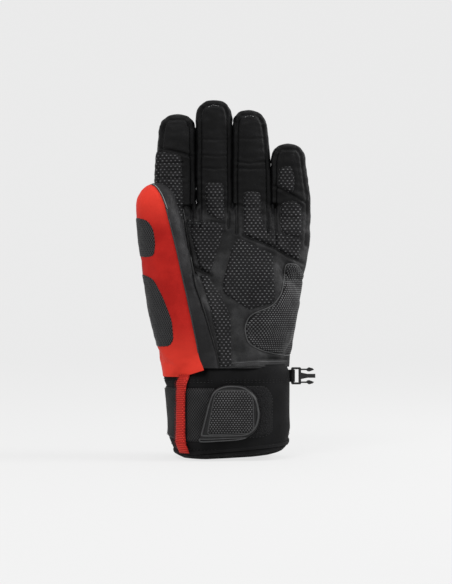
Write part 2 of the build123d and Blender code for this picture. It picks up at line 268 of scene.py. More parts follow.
def superellipse(unit, half_wide, half_deep, power):
    """A point of the unit circle moved to a rounded section."""
    wide = math.copysign(abs(unit.x) ** (2 / power), unit.x) * half_wide
    deep = math.copysign(abs(unit.y) ** (2 / power), unit.y) * half_deep
    return wide, deep


def loft(bm, rings, power=2.5, segments=24):
    """A closed tube through rings, each (centre, half width, half depth, width axis, depth axis)."""
    index = bm.verts.layers.int.get("station") or bm.verts.layers.int.new("station")
    start = bmesh.ops.create_circle(bm, cap_ends=True, segments=segments, radius=1.0)["verts"]
    unit = [v.co.copy() for v in start]
    for i, v in enumerate(start):
        v[index] = i
    edges = list({e for v in start for e in v.link_edges})
    verts = start
    for step, (centre, half_wide, half_deep, across, deep_axis) in enumerate(rings):
        if step:
            grown = bmesh.ops.extrude_edge_only(bm, edges=edges)["geom"]
            verts = [g for g in grown if isinstance(g, bmesh.types.BMVert)]
            edges = [g for g in grown if isinstance(g, bmesh.types.BMEdge)]
        for v in verts:
            wide, deep = superellipse(unit[v[index]], half_wide, half_deep, power)
            v.co = (Vector(centre) + across * wide + deep_axis * deep) * MM
    bmesh.ops.contextual_create(bm, geom=edges)


def upright(section, inset=SLACK):
    z, left, right, palm, back = section
    centre = ((left + right) / 2, (palm + back) / 2, z)
    return centre, (right - left) / 2 - inset, (back - palm) / 2 - inset, Vector((1, 0, 0)), Vector((0, 1, 0))


def digit_rings(name):
    sections = DIGITS[name]
    rings = [upright(s) for s in sections]
    z, left, right, palm, back = sections[-1]
    top, tip_x = TIPS[name]
    for share in DOME:
        shrink = math.sqrt(1 - share**2)
        x = (left + right) / 2 + share * (tip_x - (left + right) / 2)
        height = z + share * (top - SLACK - z)
        flat = (right - left) / 2 - SLACK, (back - palm) / 2 - SLACK
        centre = (x, (palm + back) / 2 - 1.5 * share, height)
        rings.append((centre, flat[0] * shrink, flat[1] * shrink, Vector((1, 0, 0)), Vector((0, 1, 0))))
    shift = SPREAD[name]
    return [((c[0] + shift * spread_share(c[2]), c[1], c[2]), *rest) for c, *rest in rings]


def spread_share(z):
    t = np.clip((z - SPREAD_FROM) / (SPREAD_FULL - SPREAD_FROM), 0, 1)
    return t * t * (3 - 2 * t)


def thumb_axes():
    along = (THUMB_TOP - THUMB_FOOT).normalized()
    across = Vector((along.z, 0, -along.x)).normalized()
    return along, across, along.cross(across).normalized()


def thumb_rings():
    along, across, deep = thumb_axes()
    length = (THUMB_TOP - THUMB_FOOT).length
    foot, wide, thick = THUMB[-1]
    rows = [(d, w - SLACK, t - SLACK) for d, w, t in THUMB]
    for share in DOME:
        shrink = math.sqrt(1 - share**2)
        rows.append((foot + share * (length - foot - SLACK), (wide - SLACK) * shrink,
                     (thick - SLACK) * shrink))
    return [(THUMB_FOOT + along * d, w, t, across, deep) for d, w, t in rows]


def mound(bm, centre, radii):
    ball = bmesh.ops.create_icosphere(bm, subdivisions=3, radius=1.0)["verts"]
    for v in ball:
        v.co = Vector([(c + r * u) * MM for c, r, u in zip(centre, radii, v.co)])


def keep_modifiers(piece):
    """The piece's mesh with its modifiers applied."""
    graph = bpy.context.evaluated_depsgraph_get()
    mesh = bpy.data.meshes.new_from_object(piece.evaluated_get(graph))
    piece.modifiers.clear()
    old, piece.data = piece.data, mesh
    bpy.data.meshes.remove(old)


def points_of(mesh):
    co = np.empty(len(mesh.vertices) * 3)
    mesh.vertices.foreach_get("co", co)
    return co.reshape(-1, 3) / MM


def set_points(mesh, points):
    mesh.vertices.foreach_set("co", (points * MM).ravel())
    mesh.update()


def rough_skin():
    """The hand, four spread fingers and thumb as one closed skin of even quads."""
    bm = bmesh.new()
    loft(bm, [upright(s) for s in HAND], power=2.6, segments=40)
    for name in FINGERS:
        loft(bm, digit_rings(name), power=2.35)
    loft(bm, thumb_rings(), power=2.5)
    mound(bm, *HEEL_PAD)
    mound(bm, *THUMB_PAD)
    bmesh.ops.recalc_face_normals(bm, faces=bm.faces)
    skin = new_object("skin", bm)
    remesh = skin.modifiers.new("even", "REMESH")
    remesh.mode = "VOXEL"
    remesh.voxel_size = 2.8 * MM
    even = skin.modifiers.new("soften", "SMOOTH")
    even.factor, even.iterations = 0.5, 6
    keep_modifiers(skin)
    return skin


def swell(skin, frames=20, cap=3.5):
    """Blows the skin up like padding under cloth that is a little too large for it."""
    before = points_of(skin.data)
    cloth = skin.modifiers.new("padding", "CLOTH")
    stuff = cloth.settings
    stuff.quality = 6
    stuff.mass = 0.15
    stuff.tension_stiffness = stuff.compression_stiffness = 20
    stuff.bending_stiffness = 0.4
    stuff.use_pressure = True
    stuff.uniform_pressure_force = 5.0
    stuff.shrink_min = -0.035
    stuff.effector_weights.gravity = 0
    cloth.collision_settings.use_collision = False
    cloth.point_cache.frame_end = frames
    scene = bpy.context.scene
    for f in range(1, frames + 1):
        scene.frame_set(f)
    keep_modifiers(skin)
    scene.frame_set(1)
    after = points_of(skin.data)
    moved = after - before
    far = np.linalg.norm(moved, axis=1, keepdims=True)
    set_points(skin.data, before + moved * np.minimum(1, cap / np.maximum(far, 1e-9)))


def digit_edges(name, z):
    """A finger's left, right, palm and back edges at each height."""
    sections = np.array(DIGITS[name])
    left, right, palm, back = (np.interp(z, sections[:, 0], sections[:, k]) for k in range(1, 5))
    foot, (top, tip_x) = sections[-1, 0], TIPS[name]
    share = np.clip((z - foot) / (top - foot), 0, 0.995)
    round_off = (1 - share**2.4) ** (1 / 2.4)
    middle = (left + right) / 2
    middle = middle + share * (tip_x - middle)
    wide, deep = (right - left) / 2 * round_off, (back - palm) / 2 * round_off
    level = (palm + back) / 2 - 1.5 * share
    return (middle - wide, middle + wide), (level - deep, level + deep)


def edges_now(points, mask, axis, z):
    """The lowest and highest values along an axis, at each of the heights z."""
    steps = np.arange(points[mask, 2].min(), points[mask, 2].max() + 1.5, 1.5)
    bins = np.digitize(points[mask, 2], steps)
    rows = [(steps[b - 1] + 0.75, points[mask, axis][bins == b]) for b in np.unique(bins)]
    rows = [(h, values.min(), values.max()) for h, values in rows if len(values) > 6]
    levels, lows, highs = np.array(rows).T
    return np.interp(z, levels, lows), np.interp(z, levels, highs)


def fit_fingers(skin, owner):
    """Brings each swollen finger to its full width, thickness and length, above the webs."""
    points = points_of(skin.data)
    for number, name in enumerate(FINGERS, 1):
        mask = owner == number
        top, web = TIPS[name][0], WEBS[number]
        z = points[mask, 2]
        shift = SPREAD[name] * spread_share(z)
        own = points[mask]
        own[:, 0] -= shift
        z = z + (top - z.max()) * smooth((z - top + 22) / 22)
        own[:, 2] = z
        above = np.maximum(z, web + 2.5)
        weight = smooth((z - web + 8) / 10)
        for axis, (low, high) in enumerate(digit_edges(name, above)):
            now_low, now_high = edges_now(own, np.ones(len(own), bool), axis, above)
            old = own[:, axis]
            new = low + (old - now_low) * (high - low) / np.maximum(now_high - now_low, 1.0)
            own[:, axis] = old + weight * (new - old)
        own[:, 0] += SPREAD[name] * spread_share(z)
        points[mask] = own
    set_points(skin.data, points)


# the hand's right side and the wrist's left side: height, x
# the palm's right edge and the wrist's left edge, as (height, x)
RIGHT_SIDE = ((64, 49.2), (82, 50.3), (112, 54.6), (150, 62.9), (170, 66.1), (182, 66.7))
LEFT_SIDE = ((60, -48.8), (64, -49.4), (68, -49.9), (72, -50.7), (76, -51.6), (82, -52.6), (90, -54.4))


def fit_hand(skin, owner):
    points = points_of(skin.data)
    mask = (owner == 0) | (owner > 2) & (owner < 5)
    x, z = points[mask, 0], points[mask, 2]
    now_low, now_high = edges_now(points, mask, 0, z)
    right = np.interp(z, *np.array(RIGHT_SIDE).T)
    left = np.interp(z, *np.array(LEFT_SIDE).T)
    weight = np.where(x > 8, 1 - smooth((z - 176) / 16), 1 - smooth((z - 78) / 10))
    stretch = np.where(x > 8, (right - 8) / np.maximum(now_high - 8, 1),
                       (8 - left) / np.maximum(8 - now_low, 1))
    points[mask, 0] = x + weight * ((x - 8) * (stretch - 1))
    set_points(skin.data, points)


def smooth(t):
    t = np.clip(t, 0, 1)
    return t * t * (3 - 2 * t)


def close_fingers(skin, owner):
    """Brings the spread fingers back side by side."""
    points = points_of(skin.data)
    knots, shifts = [], []
    for name in FINGERS:
        _, left, right, _, _ = DIGITS[name][2]
        knots += [left + 3, right - 3]
        shifts += [SPREAD[name]] * 2
    share = spread_share(points[:, 2])
    spread_x = points[:, 0].copy()
    x = spread_x.copy()
    for _ in range(8):
        x = spread_x - share * np.interp(x, knots, shifts)
    own = spread_x - share * np.array([0.0, *SPREAD.values(), 0.0])[owner]
    x += smooth((points[:, 2] - WEBS[owner] + 4) / 8) * (own - x)
    points[:, 0] = np.where((owner == 5) | (points[:, 1] < -31), spread_x, x)
    set_points(skin.data, points)


def thumb_weight(points):
    """1 on the free thumb, 0 elsewhere."""
    along, across, deep = (np.array(a) for a in thumb_axes())
    rel = points - np.array(THUMB_FOOT)
    distance = rel @ along
    off = np.hypot((rel @ across) / 24.0, (rel @ deep) / 18.5)
    palm = np.interp(points[:, 2], [s[0] for s in HAND], [s[3] for s in HAND])
    return ((off < 1.0) & (distance > 66) & (points[:, 1] < palm - 2.5)).astype(float)


# ---- seams, creases and puffs -----------------------------------------------------------------------
PANEL_INSET = 3.4  # how far a finger's palm panel stays inside its outline


def digit_of(points):
    """0 for the hand, then 1 to 4 for the spread fingers and 5 for the free thumb."""
    owner = np.zeros(len(points), int)
    spread = list(SPREAD.values())
    between = [(DIGITS[a][2][2] + DIGITS[b][2][1]) / 2 for a, b in zip(FINGERS, FINGERS[1:])]
    share = spread_share(points[:, 2])
    nearest = sum((points[:, 0] > x + share * (a + b) / 2).astype(int) for x, a,
                  b in zip(between, spread, spread[1:]))
    floors = np.array([186.0, 186.0, 182.0, 172.0])
    free = points[:, 2] > floors[nearest]
    owner[free] = nearest[free] + 1
    owner[thumb_weight(points) > 0.5] = 5
    return owner


def rounded(corners, radius=2.2, steps=3):
    """An outline with its corners rounded off."""
    points = []
    for i in range(len(corners)):
        here, before, after = (Vector(corners[(i + k) % len(corners)]) for k in (0, -1, 1))
        back, ahead = (before - here), (after - here)
        reach = min(radius, back.length * 0.45, ahead.length * 0.45)
        start, end = here + back.normalized() * reach, here + ahead.normalized() * reach
        for k in range(steps + 1):
            t = k / steps
            points.append(tuple(start * (1 - t) ** 2 + here * (2 * t * (1 - t)) + end * t * t))
    return points


def from_line(points, line, closed=False):
    """Distance of each point to a front-view line of (x, z) points."""
    line = np.array(line, float)
    painted_highlight = np.roll(line, -1, 0) if closed else line[1:]
    starts = line if closed else line[:-1]
    flat = points[:, [0, 2]]
    best = np.full(len(points), 1e9)
    for a, b in zip(starts, painted_highlight):
        run = b - a
        t = np.clip(((flat - a) @ run) / max(run @ run, 1e-9), 0, 1)
        best = np.minimum(best, np.hypot(*(flat - a - t[:, None] * run).T))
    return best


def inside(outline, x, z):
    """Whether front-view points lie inside an outline."""
    x, z = np.asarray(x, float), np.asarray(z, float)
    hit = np.zeros(x.shape, bool)
    for (ax, az), (bx, bz) in zip(outline, outline[1:] + outline[:1]):
        crosses = (az > z) != (bz > z)
        hit ^= crosses & (x < (bx - ax) * (z - az) / ((bz - az) or 1e-9) + ax)
    return hit


def finger_panel(name, inset=PANEL_INSET):
    """The line up one side of a finger's palm panel, over its tip and down the other side."""
    left, right = [], []
    shift = SPREAD[name]
    for (x, _, z), wide, *_ in digit_rings(name)[1:]:
        x -= shift * spread_share(z)
        scale = max(wide + SLACK - inset, 0.3)
        z = min(z, TIPS[name][0] - inset * 1.35)
        left.append((x - scale, z))
        right.append((x + scale, z))
    return left + right[::-1]


# grip panels on the palm side: digit, and outline in front view
GRIPS = {
    "index_grip": ("index", [(-55.5, 240.6), (-35.2, 236.2), (-34.4, 219), (-33.2, 186), (-58, 186),
                             (-58.5, 222)]),
    "middle_grip": ("middle", [(-15.8, 215.4), (-2.2, 214.8), (-1.2, 186.4), (-6, 186.2), (-15.2, 192)]),
    "ring_grip": ("ring", [(14, 208.4), (26.6, 208), (27.6, 186), (31.5, 179.6), (47, 174), (58.4, 172),
                           (57.4, 153.6),
                           (40, 163.4), (14, 175)]),
    "little_grip": ("little",
                    [(43.2, 199.6), (53.8, 201.4), (58.8, 197), (58.8, 172.4), (47.4, 174.2), (42.2, 179)]),
    "little_tip_grip": ("little",
                        [(41.6, 226.6), (50.6, 228.6), (53.4, 218), (52.6, 208.8), (49.5, 208),
                         (40.8, 214.4)]),
    "mount_grip": ("hand", [(-31, 188), (-27, 185.6), (-4.4, 184.2), (-1.6, 179), (-12.4, 143.8),
                            (-20.6, 148.6), (-24.6, 164)]),
    "centre_grip": ("hand", [(9.2, 172.2), (36.6, 159.6), (38, 125), (36.4, 121.4), (17.6, 116.2),
                             (-2.4, 129.6), (-2.2, 139.4),
                             (4.6, 164)]),
    "thumb_base_grip": ("hand",
                        [(-20.6, 143.6), (-14, 142.6), (-3, 125.8), (3.6, 110.5), (4.4, 72.6), (-5, 72.2),
                         (-6.4, 90),
                                 (-11.6, 116)]),
}
HEEL = [(46.6, 152.6), (55.6, 151.8), (61.6, 142), (59, 120), (54, 90), (51, 79.6), (28.4, 84.4),
        (16.9, 90.6), (14.2, 103),
        (18.8, 112.4), (36.4, 119.4), (43.2, 128.7)]
THUMB_MESHES = {
    "thumb_mesh": [(-74, 188.4), (-59.5, 184.6), (-55, 178), (-53.4, 166), (-54.8, 157.6), (-60, 156.4),
                   (-73, 158)],
    "thenar_mesh": [(-68, 145.4), (-55.5, 140.4), (-48, 126), (-41.2, 108), (-40.2, 93), (-43.5, 88.2),
                    (-64, 87)],
}
# folds pressed into the palm side: digit, line, depth, width
FOLDS = (
    ("index", [(-55, 242.8), (-42, 239.8), (-26, 236)], 1.0, 0.9),
    ("index", [(-55, 231.2), (-45, 230), (-34, 230.6)], 0.8, 0.9),
    ("index", [(-55, 219.6), (-44, 218), (-33, 219)], 0.9, 1.0),
    ("middle", [(-21, 249), (-9, 248.2), (2, 248.8)], 0.35, 0.8),
    ("middle", [(-20, 236.8), (-8, 235.6), (2, 236.4)], 0.45, 0.8),
    ("middle", [(-19, 227), (-9, 225.8), (1, 226.8)], 0.35, 0.7),
    ("middle", [(-17, 205.5), (-9, 204.2), (-1, 205.2)], 0.6, 0.9),
    ("middle", [(-15, 196.4), (-8, 195), (0, 196.2)], 0.5, 0.9),
    ("ring", [(8, 250), (18, 248.8), (29, 249.8)], 0.3, 0.8),
    ("ring", [(8, 231.6), (18, 230), (30, 231.6)], 0.55, 0.8),
    ("ring", [(8, 226.6), (19, 225.6), (30, 226.4)], 0.4, 0.7),
    ("ring", [(12, 197), (20, 195.8), (28, 197)], 0.5, 0.9),
    ("little", [(37.6, 212.6), (48, 207.4), (62, 199.8)], 1.1, 0.9),
    ("little", [(42, 189.4), (51, 188), (60, 189)], 0.5, 0.9),
    ("hand", [(13.6, 174.2), (36, 166), (59, 152.6)], 1.5, 1.3),
    ("hand", [(-24, 148.4), (-19, 146.4), (-12, 142.8)], 1.7, 1.3),
    ("hand", [(-30.6, 189.2), (-20, 185.4), (-2, 183.6)], 0.9, 1.4),
    ("hand", [(9, 76.8), (28, 77.8), (50, 77.2)], 1.0, 1.4),
    ("hand", [(3.5, 184), (7.4, 176), (5.5, 168)], 0.5, 2.5),
)
STRIP_EDGE = [(-33.6, 196), (-32.6, 190), (-28.7, 163.2), (-23.3, 134.4), (-15.6, 111.5), (-7.5, 84.6),
              (-5.0, 72.6)]


def press(points, owner, on, line, depth, width, closed=False):
    """How deep a seam or fold line presses, with soft lips beside it."""
    mask = (owner == 5) if on == "thumb" else (owner != 5)
    if on in FINGERS:
        mask &= (owner == FINGERS.index(on) + 1) | (owner == 0)
    lows, highs = np.min(line, 0) - 9, np.max(line, 0) + 9
    mask &= (points[:, 0] > lows[0]) & (points[:, 0] < highs[0])
    mask &= (points[:, 2] > lows[1]) & (points[:, 2] < highs[1])
    relief = np.zeros(len(points))
    if mask.any():
        d = from_line(points[mask], line, closed)
        lip = 0.32 * depth * np.exp(-(((d - 2.6 * width) / (1.5 * width)) ** 2))
        relief[mask] = -depth * np.exp(-((d / width) ** 2)) + lip
    return relief


def waves(points, length, seed, stretch=(1, 1, 1)):
    """Soft lumps of about the given length, between -1 and 1."""
    rng = np.random.default_rng(seed)
    total = np.zeros(len(points))
    for _ in range(7):
        direction = rng.normal(size=3) * stretch
        direction *= 2 * math.pi / length / np.linalg.norm(direction) * rng.uniform(0.7, 1.4)
        total += np.sin(points @ direction + rng.uniform(0, 6.3))
    return total / 4


def sculpt(skin, owner):
    mesh = skin.data
    points = points_of(mesh)
    normals = np.empty(len(points) * 3)
    mesh.vertices.foreach_get("normal", normals)
    normals = normals.reshape(-1, 3)
    palm_side = np.clip((-normals[:, 1] - 0.05) / 0.35, 0, 1)
    back_side = np.clip((normals[:, 1] - 0.1) / 0.4, 0, 1)
    relief = np.zeros(len(points))
    for name in FINGERS:
        relief += press(points, owner, name, finger_panel(name), 1.5, 0.9) * palm_side
    for on, line, depth, width in FOLDS:
        relief += press(points, owner, on, line, depth, width) * palm_side
    for on, corners in GRIPS.values():
        relief += press(points, owner, on, rounded(corners), 0.35, 1.0, closed=True) * palm_side
    relief += press(points, owner, "hand", rounded(HEEL), 0.6, 1.2, closed=True) * palm_side
    relief += press(points, owner, "hand", STRIP_EDGE, 0.9, 1.0) * palm_side
    for name in ("middle", "ring", "little", "index"):  # the back: one seam along each finger
        z0 = DIGITS[name][1][0] + 8
        line = [((s[1] + s[2]) / 2 + side, s[0]) for side in (0,) for s in DIGITS[name][1:]]
        line = [(x, max(z, z0)) for x, z in line]
        relief += 0.5 * press(points, owner, name, line, 1.0, 1.0) * back_side
    fingers = (owner > 0) & (owner < 5)
    relief += 0.30 * waves(points, 22, 3)
    relief += 0.10 * waves(points, 9, 5)
    relief += np.where(fingers, 0.16, 0.05) * waves(points, 6.5, 8, (0.25, 0.25, 1))
    set_points(mesh, points + normals * relief[:, None])


# ---- cuts between the bodies ------------------------------------------------------------------------
# per digit: where it leaves the hand, where its lower piece ends, where its upper piece is straight
CUTS = {"index": (199.0, 210.5, 230.0), "middle": (200.5, 215.0, 237.0), "ring": (199.0, 212.0, 232.0),
        "little": (189.5, 198.5, 214.0), "thumb": (82.0, 101.0, 121.0)}
ALL_DIGITS = (*FINGERS, "thumb")


def cut_plane(name, level):
    """A point and the normal of one of a digit's cuts, in millimetres."""
    if name == "thumb":
        along = thumb_axes()[0]
        return THUMB_FOOT + along * level, along
    return Vector((0, 0, level)), Vector((0, 0, 1))


def slice_faces(bm, keep, co, no, faces=None, mark=None):
    """Cuts faces along a plane, in millimetres; mark is the layer and number that the new vertices get."""
    co, no = Vector(co), Vector(no)
    near = []
    for f in (bm.faces if faces is None else faces):
        sides = [(v.co / MM - co).dot(no) for v in f.verts]
        if min(sides) < 0 < max(sides) and (keep is None or keep(f.calc_center_median() / MM)):
            near.append(f)
    if not near:
        return
    edges = {e for f in near for e in f.edges}
    verts = {v for f in near for v in f.verts}
    cut = bmesh.ops.bisect_plane(bm, geom=[*near, *edges, *verts], plane_co=co * MM, plane_no=no, dist=1e-7)
    for g in cut["geom_cut"]:
        if mark and isinstance(g, bmesh.types.BMVert):
            g[mark[0]] = mark[1]
    bm.faces.index_update()


def share_out(name, bm, kinds, whole=False):
    """Shares a sheet or a set of small pieces, labelled by digit, out between the bodies it lies on.

    Each vertex carries its digit. The sheet is cut where the digits' pieces part.
    kinds gives each material index its (name, material, slot). Returns {(body, kind): piece}.
    """
    label = bm.verts.layers.int["digit"]
    for number, digit in enumerate(ALL_DIGITS, 1):
        if whole:
            break
        for level in CUTS[digit][:2]:
            co, no = cut_plane(digit, level)
            slice_faces(bm, None, co, no, [f for f in bm.faces if any(v[label] == number for v in f.verts)],
                        (label, number))
    bm.normal_update()
    homes = {}
    for face in bm.faces:
        counts = [v[label] for v in face.verts]
        number = max(set(counts), key=counts.count)
        home = "hand"
        if number:
            digit = ALL_DIGITS[number - 1]
            middle = face.calc_center_median() / MM
            levels = [(middle - co).dot(no) for co,
                      no in (cut_plane(digit, level) for level in CUTS[digit][:2])]
            home = "hand" if levels[0] < 0 else digit + ("_lower" if levels[1] < 0 else "_upper")
        homes.setdefault((home, face.material_index), set()).add(face.index)
    made = {}
    for (home, index), keep in sorted(homes.items()):
        kind, material, slot = kinds[index]
        part = bm.copy()
        bmesh.ops.delete(part, geom=[f for f in part.faces if f.index not in keep], context="FACES")
        for face in part.faces:
            face.material_index = 0
        normals = [v.normal.copy() for v in part.verts]
        piece = new_object("_".join(w for w in (home, name, kind) if w), part, [material])
        if not whole:
            piece.data.normals_split_custom_set_from_vertices(normals)
        made[home, kind] = piece
        remember_rest(piece)
        settle(piece, home)
    bm.free()
    return made


def remember_rest(piece):
    """Stores where each point lies at rest, in millimetres, for the materials to read."""
    mesh = piece.data
    attribute = mesh.attributes.new("rest", "FLOAT_VECTOR", "POINT")
    attribute.data.foreach_set("vector", points_of(mesh).ravel())


def settle(piece, home):
    """Joins a piece on the hand to its body; a digit's piece only has its transform baked into its mesh."""
    if "_" not in home or home.rsplit("_", 1)[1] not in ("lower", "upper"):
        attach(piece, home)
        return
    digit, level = home.rsplit("_", 1)
    low, middle, high = CUTS[digit]
    start, end = (low, middle) if level == "lower" else (middle, high)
    (a, _), (b, _) = cut_plane(digit, start), cut_plane(digit, end)
    parent = "hand" if level == "lower" else f"{digit}_lower"
    a * MM
    b * MM
    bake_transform(piece)


# ---- finishes ---------------------------------------------------------------------------------------
def grain(paint, rest, scale=1.1):
    """The cells of leather's grain, 0 in the creases."""
    wobble = paint.noise(rest, scale * 0.7, 2.0)
    warped = paint.node("ShaderNodeVectorMath", {"operation": "MULTIPLY_ADD"},
                        {0: wobble, 1: (0.9, 0.9, 0.9), 2: rest})
    return paint.cells(warped, scale).above(0.0, 0.22)


def leather_paint(name, base, worn, roughness=0.46, palm=None):
    """Grained leather, worn lighter in patches; palm is the lighter pair of colours below the fingers."""
    paint = Paint(name, base, roughness, Specular_IOR_Level=0.13)
    rest, _, _, z = paint.place()
    cells = grain(paint, rest)
    patchy = paint.noise(rest, 0.045, 3.0, 0.6).above(0.4, 0.68)
    fine = paint.noise(rest, 0.5, 3.0, 0.6)
    colour = paint.blend(patchy, base, worn)
    if palm:
        colour = paint.blend(z.above(184, 202), paint.blend(patchy, *palm), colour)
    colour = paint.blend((1 - cells) * 0.4, colour, tuple(c * 0.4 for c in base))
    paint.set("Base Color", colour)
    paint.set("Roughness", roughness + 0.16 * fine - 0.08 * patchy)
    wrinkles = paint.noise(rest, 0.22, 4.0, 0.65)
    paint.set("Normal", paint.bump(cells, 0.10, 0.5, over=paint.bump(wrinkles, 0.9, 0.5)))
    return paint.material


def dashes(across, up, pitch, rise, long, tall):
    """Offset rows of short dashes: 1 on a dash."""
    row = (up / rise).floor()
    odd = (row * 0.5).fraction()
    u = (across / pitch + odd).fraction() - 0.5
    v = (up / rise).fraction() - 0.5
    wide = 1 - u.size().above(long * 0.75, long)
    return wide * (1 - v.size().above(tall * 0.6, tall))


def grip_paint(name, pitch, rise, long, tall, base=(0.0075, 0.0075, 0.008), dash=(0.115, 0.115, 0.118)):
    """Leather printed with raised dashes."""
    paint = Paint(name, base, 0.5, Specular_IOR_Level=0.13)
    rest, x, _, z = paint.place()
    wobble = (paint.noise(rest, 0.12) - 0.5) * 1.2
    mark = dashes(x + wobble, z + wobble, pitch, rise, long, tall)
    worn = paint.noise(rest, 0.16, 3.0, 0.6).above(0.3, 0.62)
    cells = grain(paint, rest, 1.4)
    paint.set("Base Color", paint.blend(mark * (0.35 + 0.65 * worn), base, dash))
    paint.set("Roughness", 0.55 - 0.18 * mark + 0.1 * cells)
    low = paint.bump(paint.noise(rest, 0.3, 3.0), 0.8, 0.5)
    paint.set("Normal", paint.bump(mark + 0.18 * cells, 0.38, 0.8, over=low))
    return paint.material


def softshell_paint(name, base, light, sheen=0.02, painted_highlight=None):
    """Stretch cloth with a fine twill; the optional lighter colour is painted towards the tip as a painted
    highlight, and by the cuff.
    """
    paint = Paint(name, base, 0.72, Sheen_Weight=sheen, Sheen_Roughness=0.4, Specular_IOR_Level=0.12)
    rest, x, y, z = paint.place()
    twill = ((x + y + z * 0.8) / 0.55).fraction()
    rib = (twill - 0.5).size().above(0.05, 0.45)
    broad = paint.noise(rest, 0.05, 3.0, 0.55).above(0.35, 0.7)
    colour = paint.blend(0.25 * rib + 0.55 * broad, base, light)
    if painted_highlight:
        # painted highlight: the lighter colour blends in towards the tip, and also by the cuff
        colour = paint.blend(0.75 * (z.above(172, 206) + (1 - z.above(72, 112))), colour, painted_highlight)
    paint.set("Base Color", colour)
    paint.set("Roughness", 0.66 + 0.14 * rib)
    soft = paint.bump(paint.noise(rest, 0.18, 3.0, 0.6), 0.9, 0.45)
    paint.set("Normal", paint.bump(rib, 0.07, 0.6, over=soft))
    return paint.material


def mesh_paint(name="mesh"):
    """Coarse diamond mesh over dark cloth."""
    paint = Paint(name, (0.006, 0.006, 0.007), 0.55, Specular_IOR_Level=0.2)
    rest, x, y, z = paint.place()
    side = x - y * 0.7
    first = (((side + z * 0.75) / 2.1).fraction() - 0.5).size()
    second = (((side - z * 0.75) / 2.1).fraction() - 0.5).size()
    thread = first.math("MAXIMUM", second).above(0.26, 0.46)
    worn = paint.noise(rest, 0.2, 2.0)
    paint.set("Base Color", paint.blend(thread * (0.6 + 0.4 * worn), (0.002, 0.002, 0.0025),
                                        (0.060, 0.060, 0.062)))
    paint.set("Roughness", 0.75 - 0.3 * thread)
    paint.set("Normal", paint.bump(thread, 0.45, 0.9))
    return paint.material


def dot_paint(name, across, rise, lean, attribute="rest", base=(0.004, 0.004, 0.0044),
              dot=(0.085, 0.085, 0.088)):
    """Leather with close rows of small raised dots."""
    paint = Paint(name, base, 0.5, Specular_IOR_Level=0.22)
    rest, x, y, z = paint.place(attribute)
    odd = ((z / rise).floor() * 0.5).fraction()
    u = ((x + y * lean) / across + odd).fraction() - 0.5
    v = (z / rise).fraction() - 0.5
    mark = 1 - (u.size() * 1.0 + v.size() * 0.9).above(0.26, 0.44)
    worn = paint.noise(rest, 0.1, 2.0).above(0.3, 0.7)
    paint.set("Base Color", paint.blend(mark * (0.55 + 0.45 * worn), base, dot))
    paint.set("Roughness", 0.62 - 0.25 * mark)
    paint.set("Normal", paint.bump(mark, 0.35, 0.85))
    return paint.material


def ribbed_paint(name, base, light, rib=1.15, attribute="rest", roughness=0.6):
    """Webbing or rib knit: rows of small slanted stitches."""
    paint = Paint(name, base, roughness, Specular_IOR_Level=0.16)
    rest, x, y, up = paint.place(attribute)
    side = x - y
    row = (up / rib).floor()
    v = (up / rib).fraction() - 0.5
    u = (side / (rib * 0.8) + (row * 0.5).fraction()).fraction() - 0.5
    bead = 1 - (u.size() * 0.8 + v.size() * 1.1).above(0.2, 0.62)
    shade = paint.noise(rest, 0.07, 3.0).above(0.35, 0.7)
    paint.set("Base Color", paint.blend(bead * (0.6 + 0.4 * shade), base, light))
    paint.set("Roughness", roughness + 0.15 - 0.2 * bead)
    paint.set("Normal", paint.bump(bead, 0.28, 0.8))
    return paint.material


def twill_paint(name, base, light, pitch=1.9):
    """Strap cloth with a crossed twill of small raised knots."""
    paint = Paint(name, base, 0.6, Specular_IOR_Level=0.14)
    rest, side, _, z = paint.place("flat")
    first = (((side + z * 0.7) / pitch).fraction() - 0.5).size()
    second = (((side - z * 0.7) / pitch).fraction() - 0.5).size()
    knot = 1 - (first + second).above(0.25, 0.7)
    shade = paint.noise(rest, 0.07, 3.0).above(0.35, 0.7)
    paint.set("Base Color", paint.blend(knot * (0.5 + 0.5 * shade), base, light))
    paint.set("Roughness", 0.75 - 0.2 * knot)
    paint.set("Normal", paint.bump(knot, 0.25, 0.8))
    return paint.material


def fuzzy_paint(name, base, light, scale=1.6, depth=0.7):
    """Fleece, loop tape or brushed padding."""
    paint = Paint(name, base, 0.9, Sheen_Weight=0.02, Sheen_Roughness=0.5, Specular_IOR_Level=0.1)
    rest = paint.place()[0]
    tufts = paint.cells(rest, scale, "F1").above(0.1, 0.75)
    fine = paint.noise(rest, scale * 1.6, 4.0, 0.7)
    paint.set("Base Color", paint.blend(tufts * fine, light, base))
    paint.set("Normal", paint.bump(fine + (1 - tufts), depth, 0.9))
    return paint.material


def plain_paint(name, base, roughness, speckle=0.25, depth=0.05, moulded=False, **constants):
    """Moulded plastic, rubber or thread: fine speckle and soft wear."""
    paint = Paint(name, base, roughness, **constants)
    rest = paint.own_place() if moulded else paint.place()[0]
    fine = paint.noise(rest, 2.2, 3.0, 0.6)
    worn = paint.noise(rest, 0.12, 3.0, 0.6).above(0.45, 0.75)
    paint.set("Base Color", paint.blend(worn * speckle, base, tuple(min(1, c * 2.2 + 0.02) for c in base)))
    paint.set("Roughness", roughness - 0.06 + 0.16 * fine)
    paint.set("Normal", paint.bump(fine, depth, 0.6))
    return paint.material


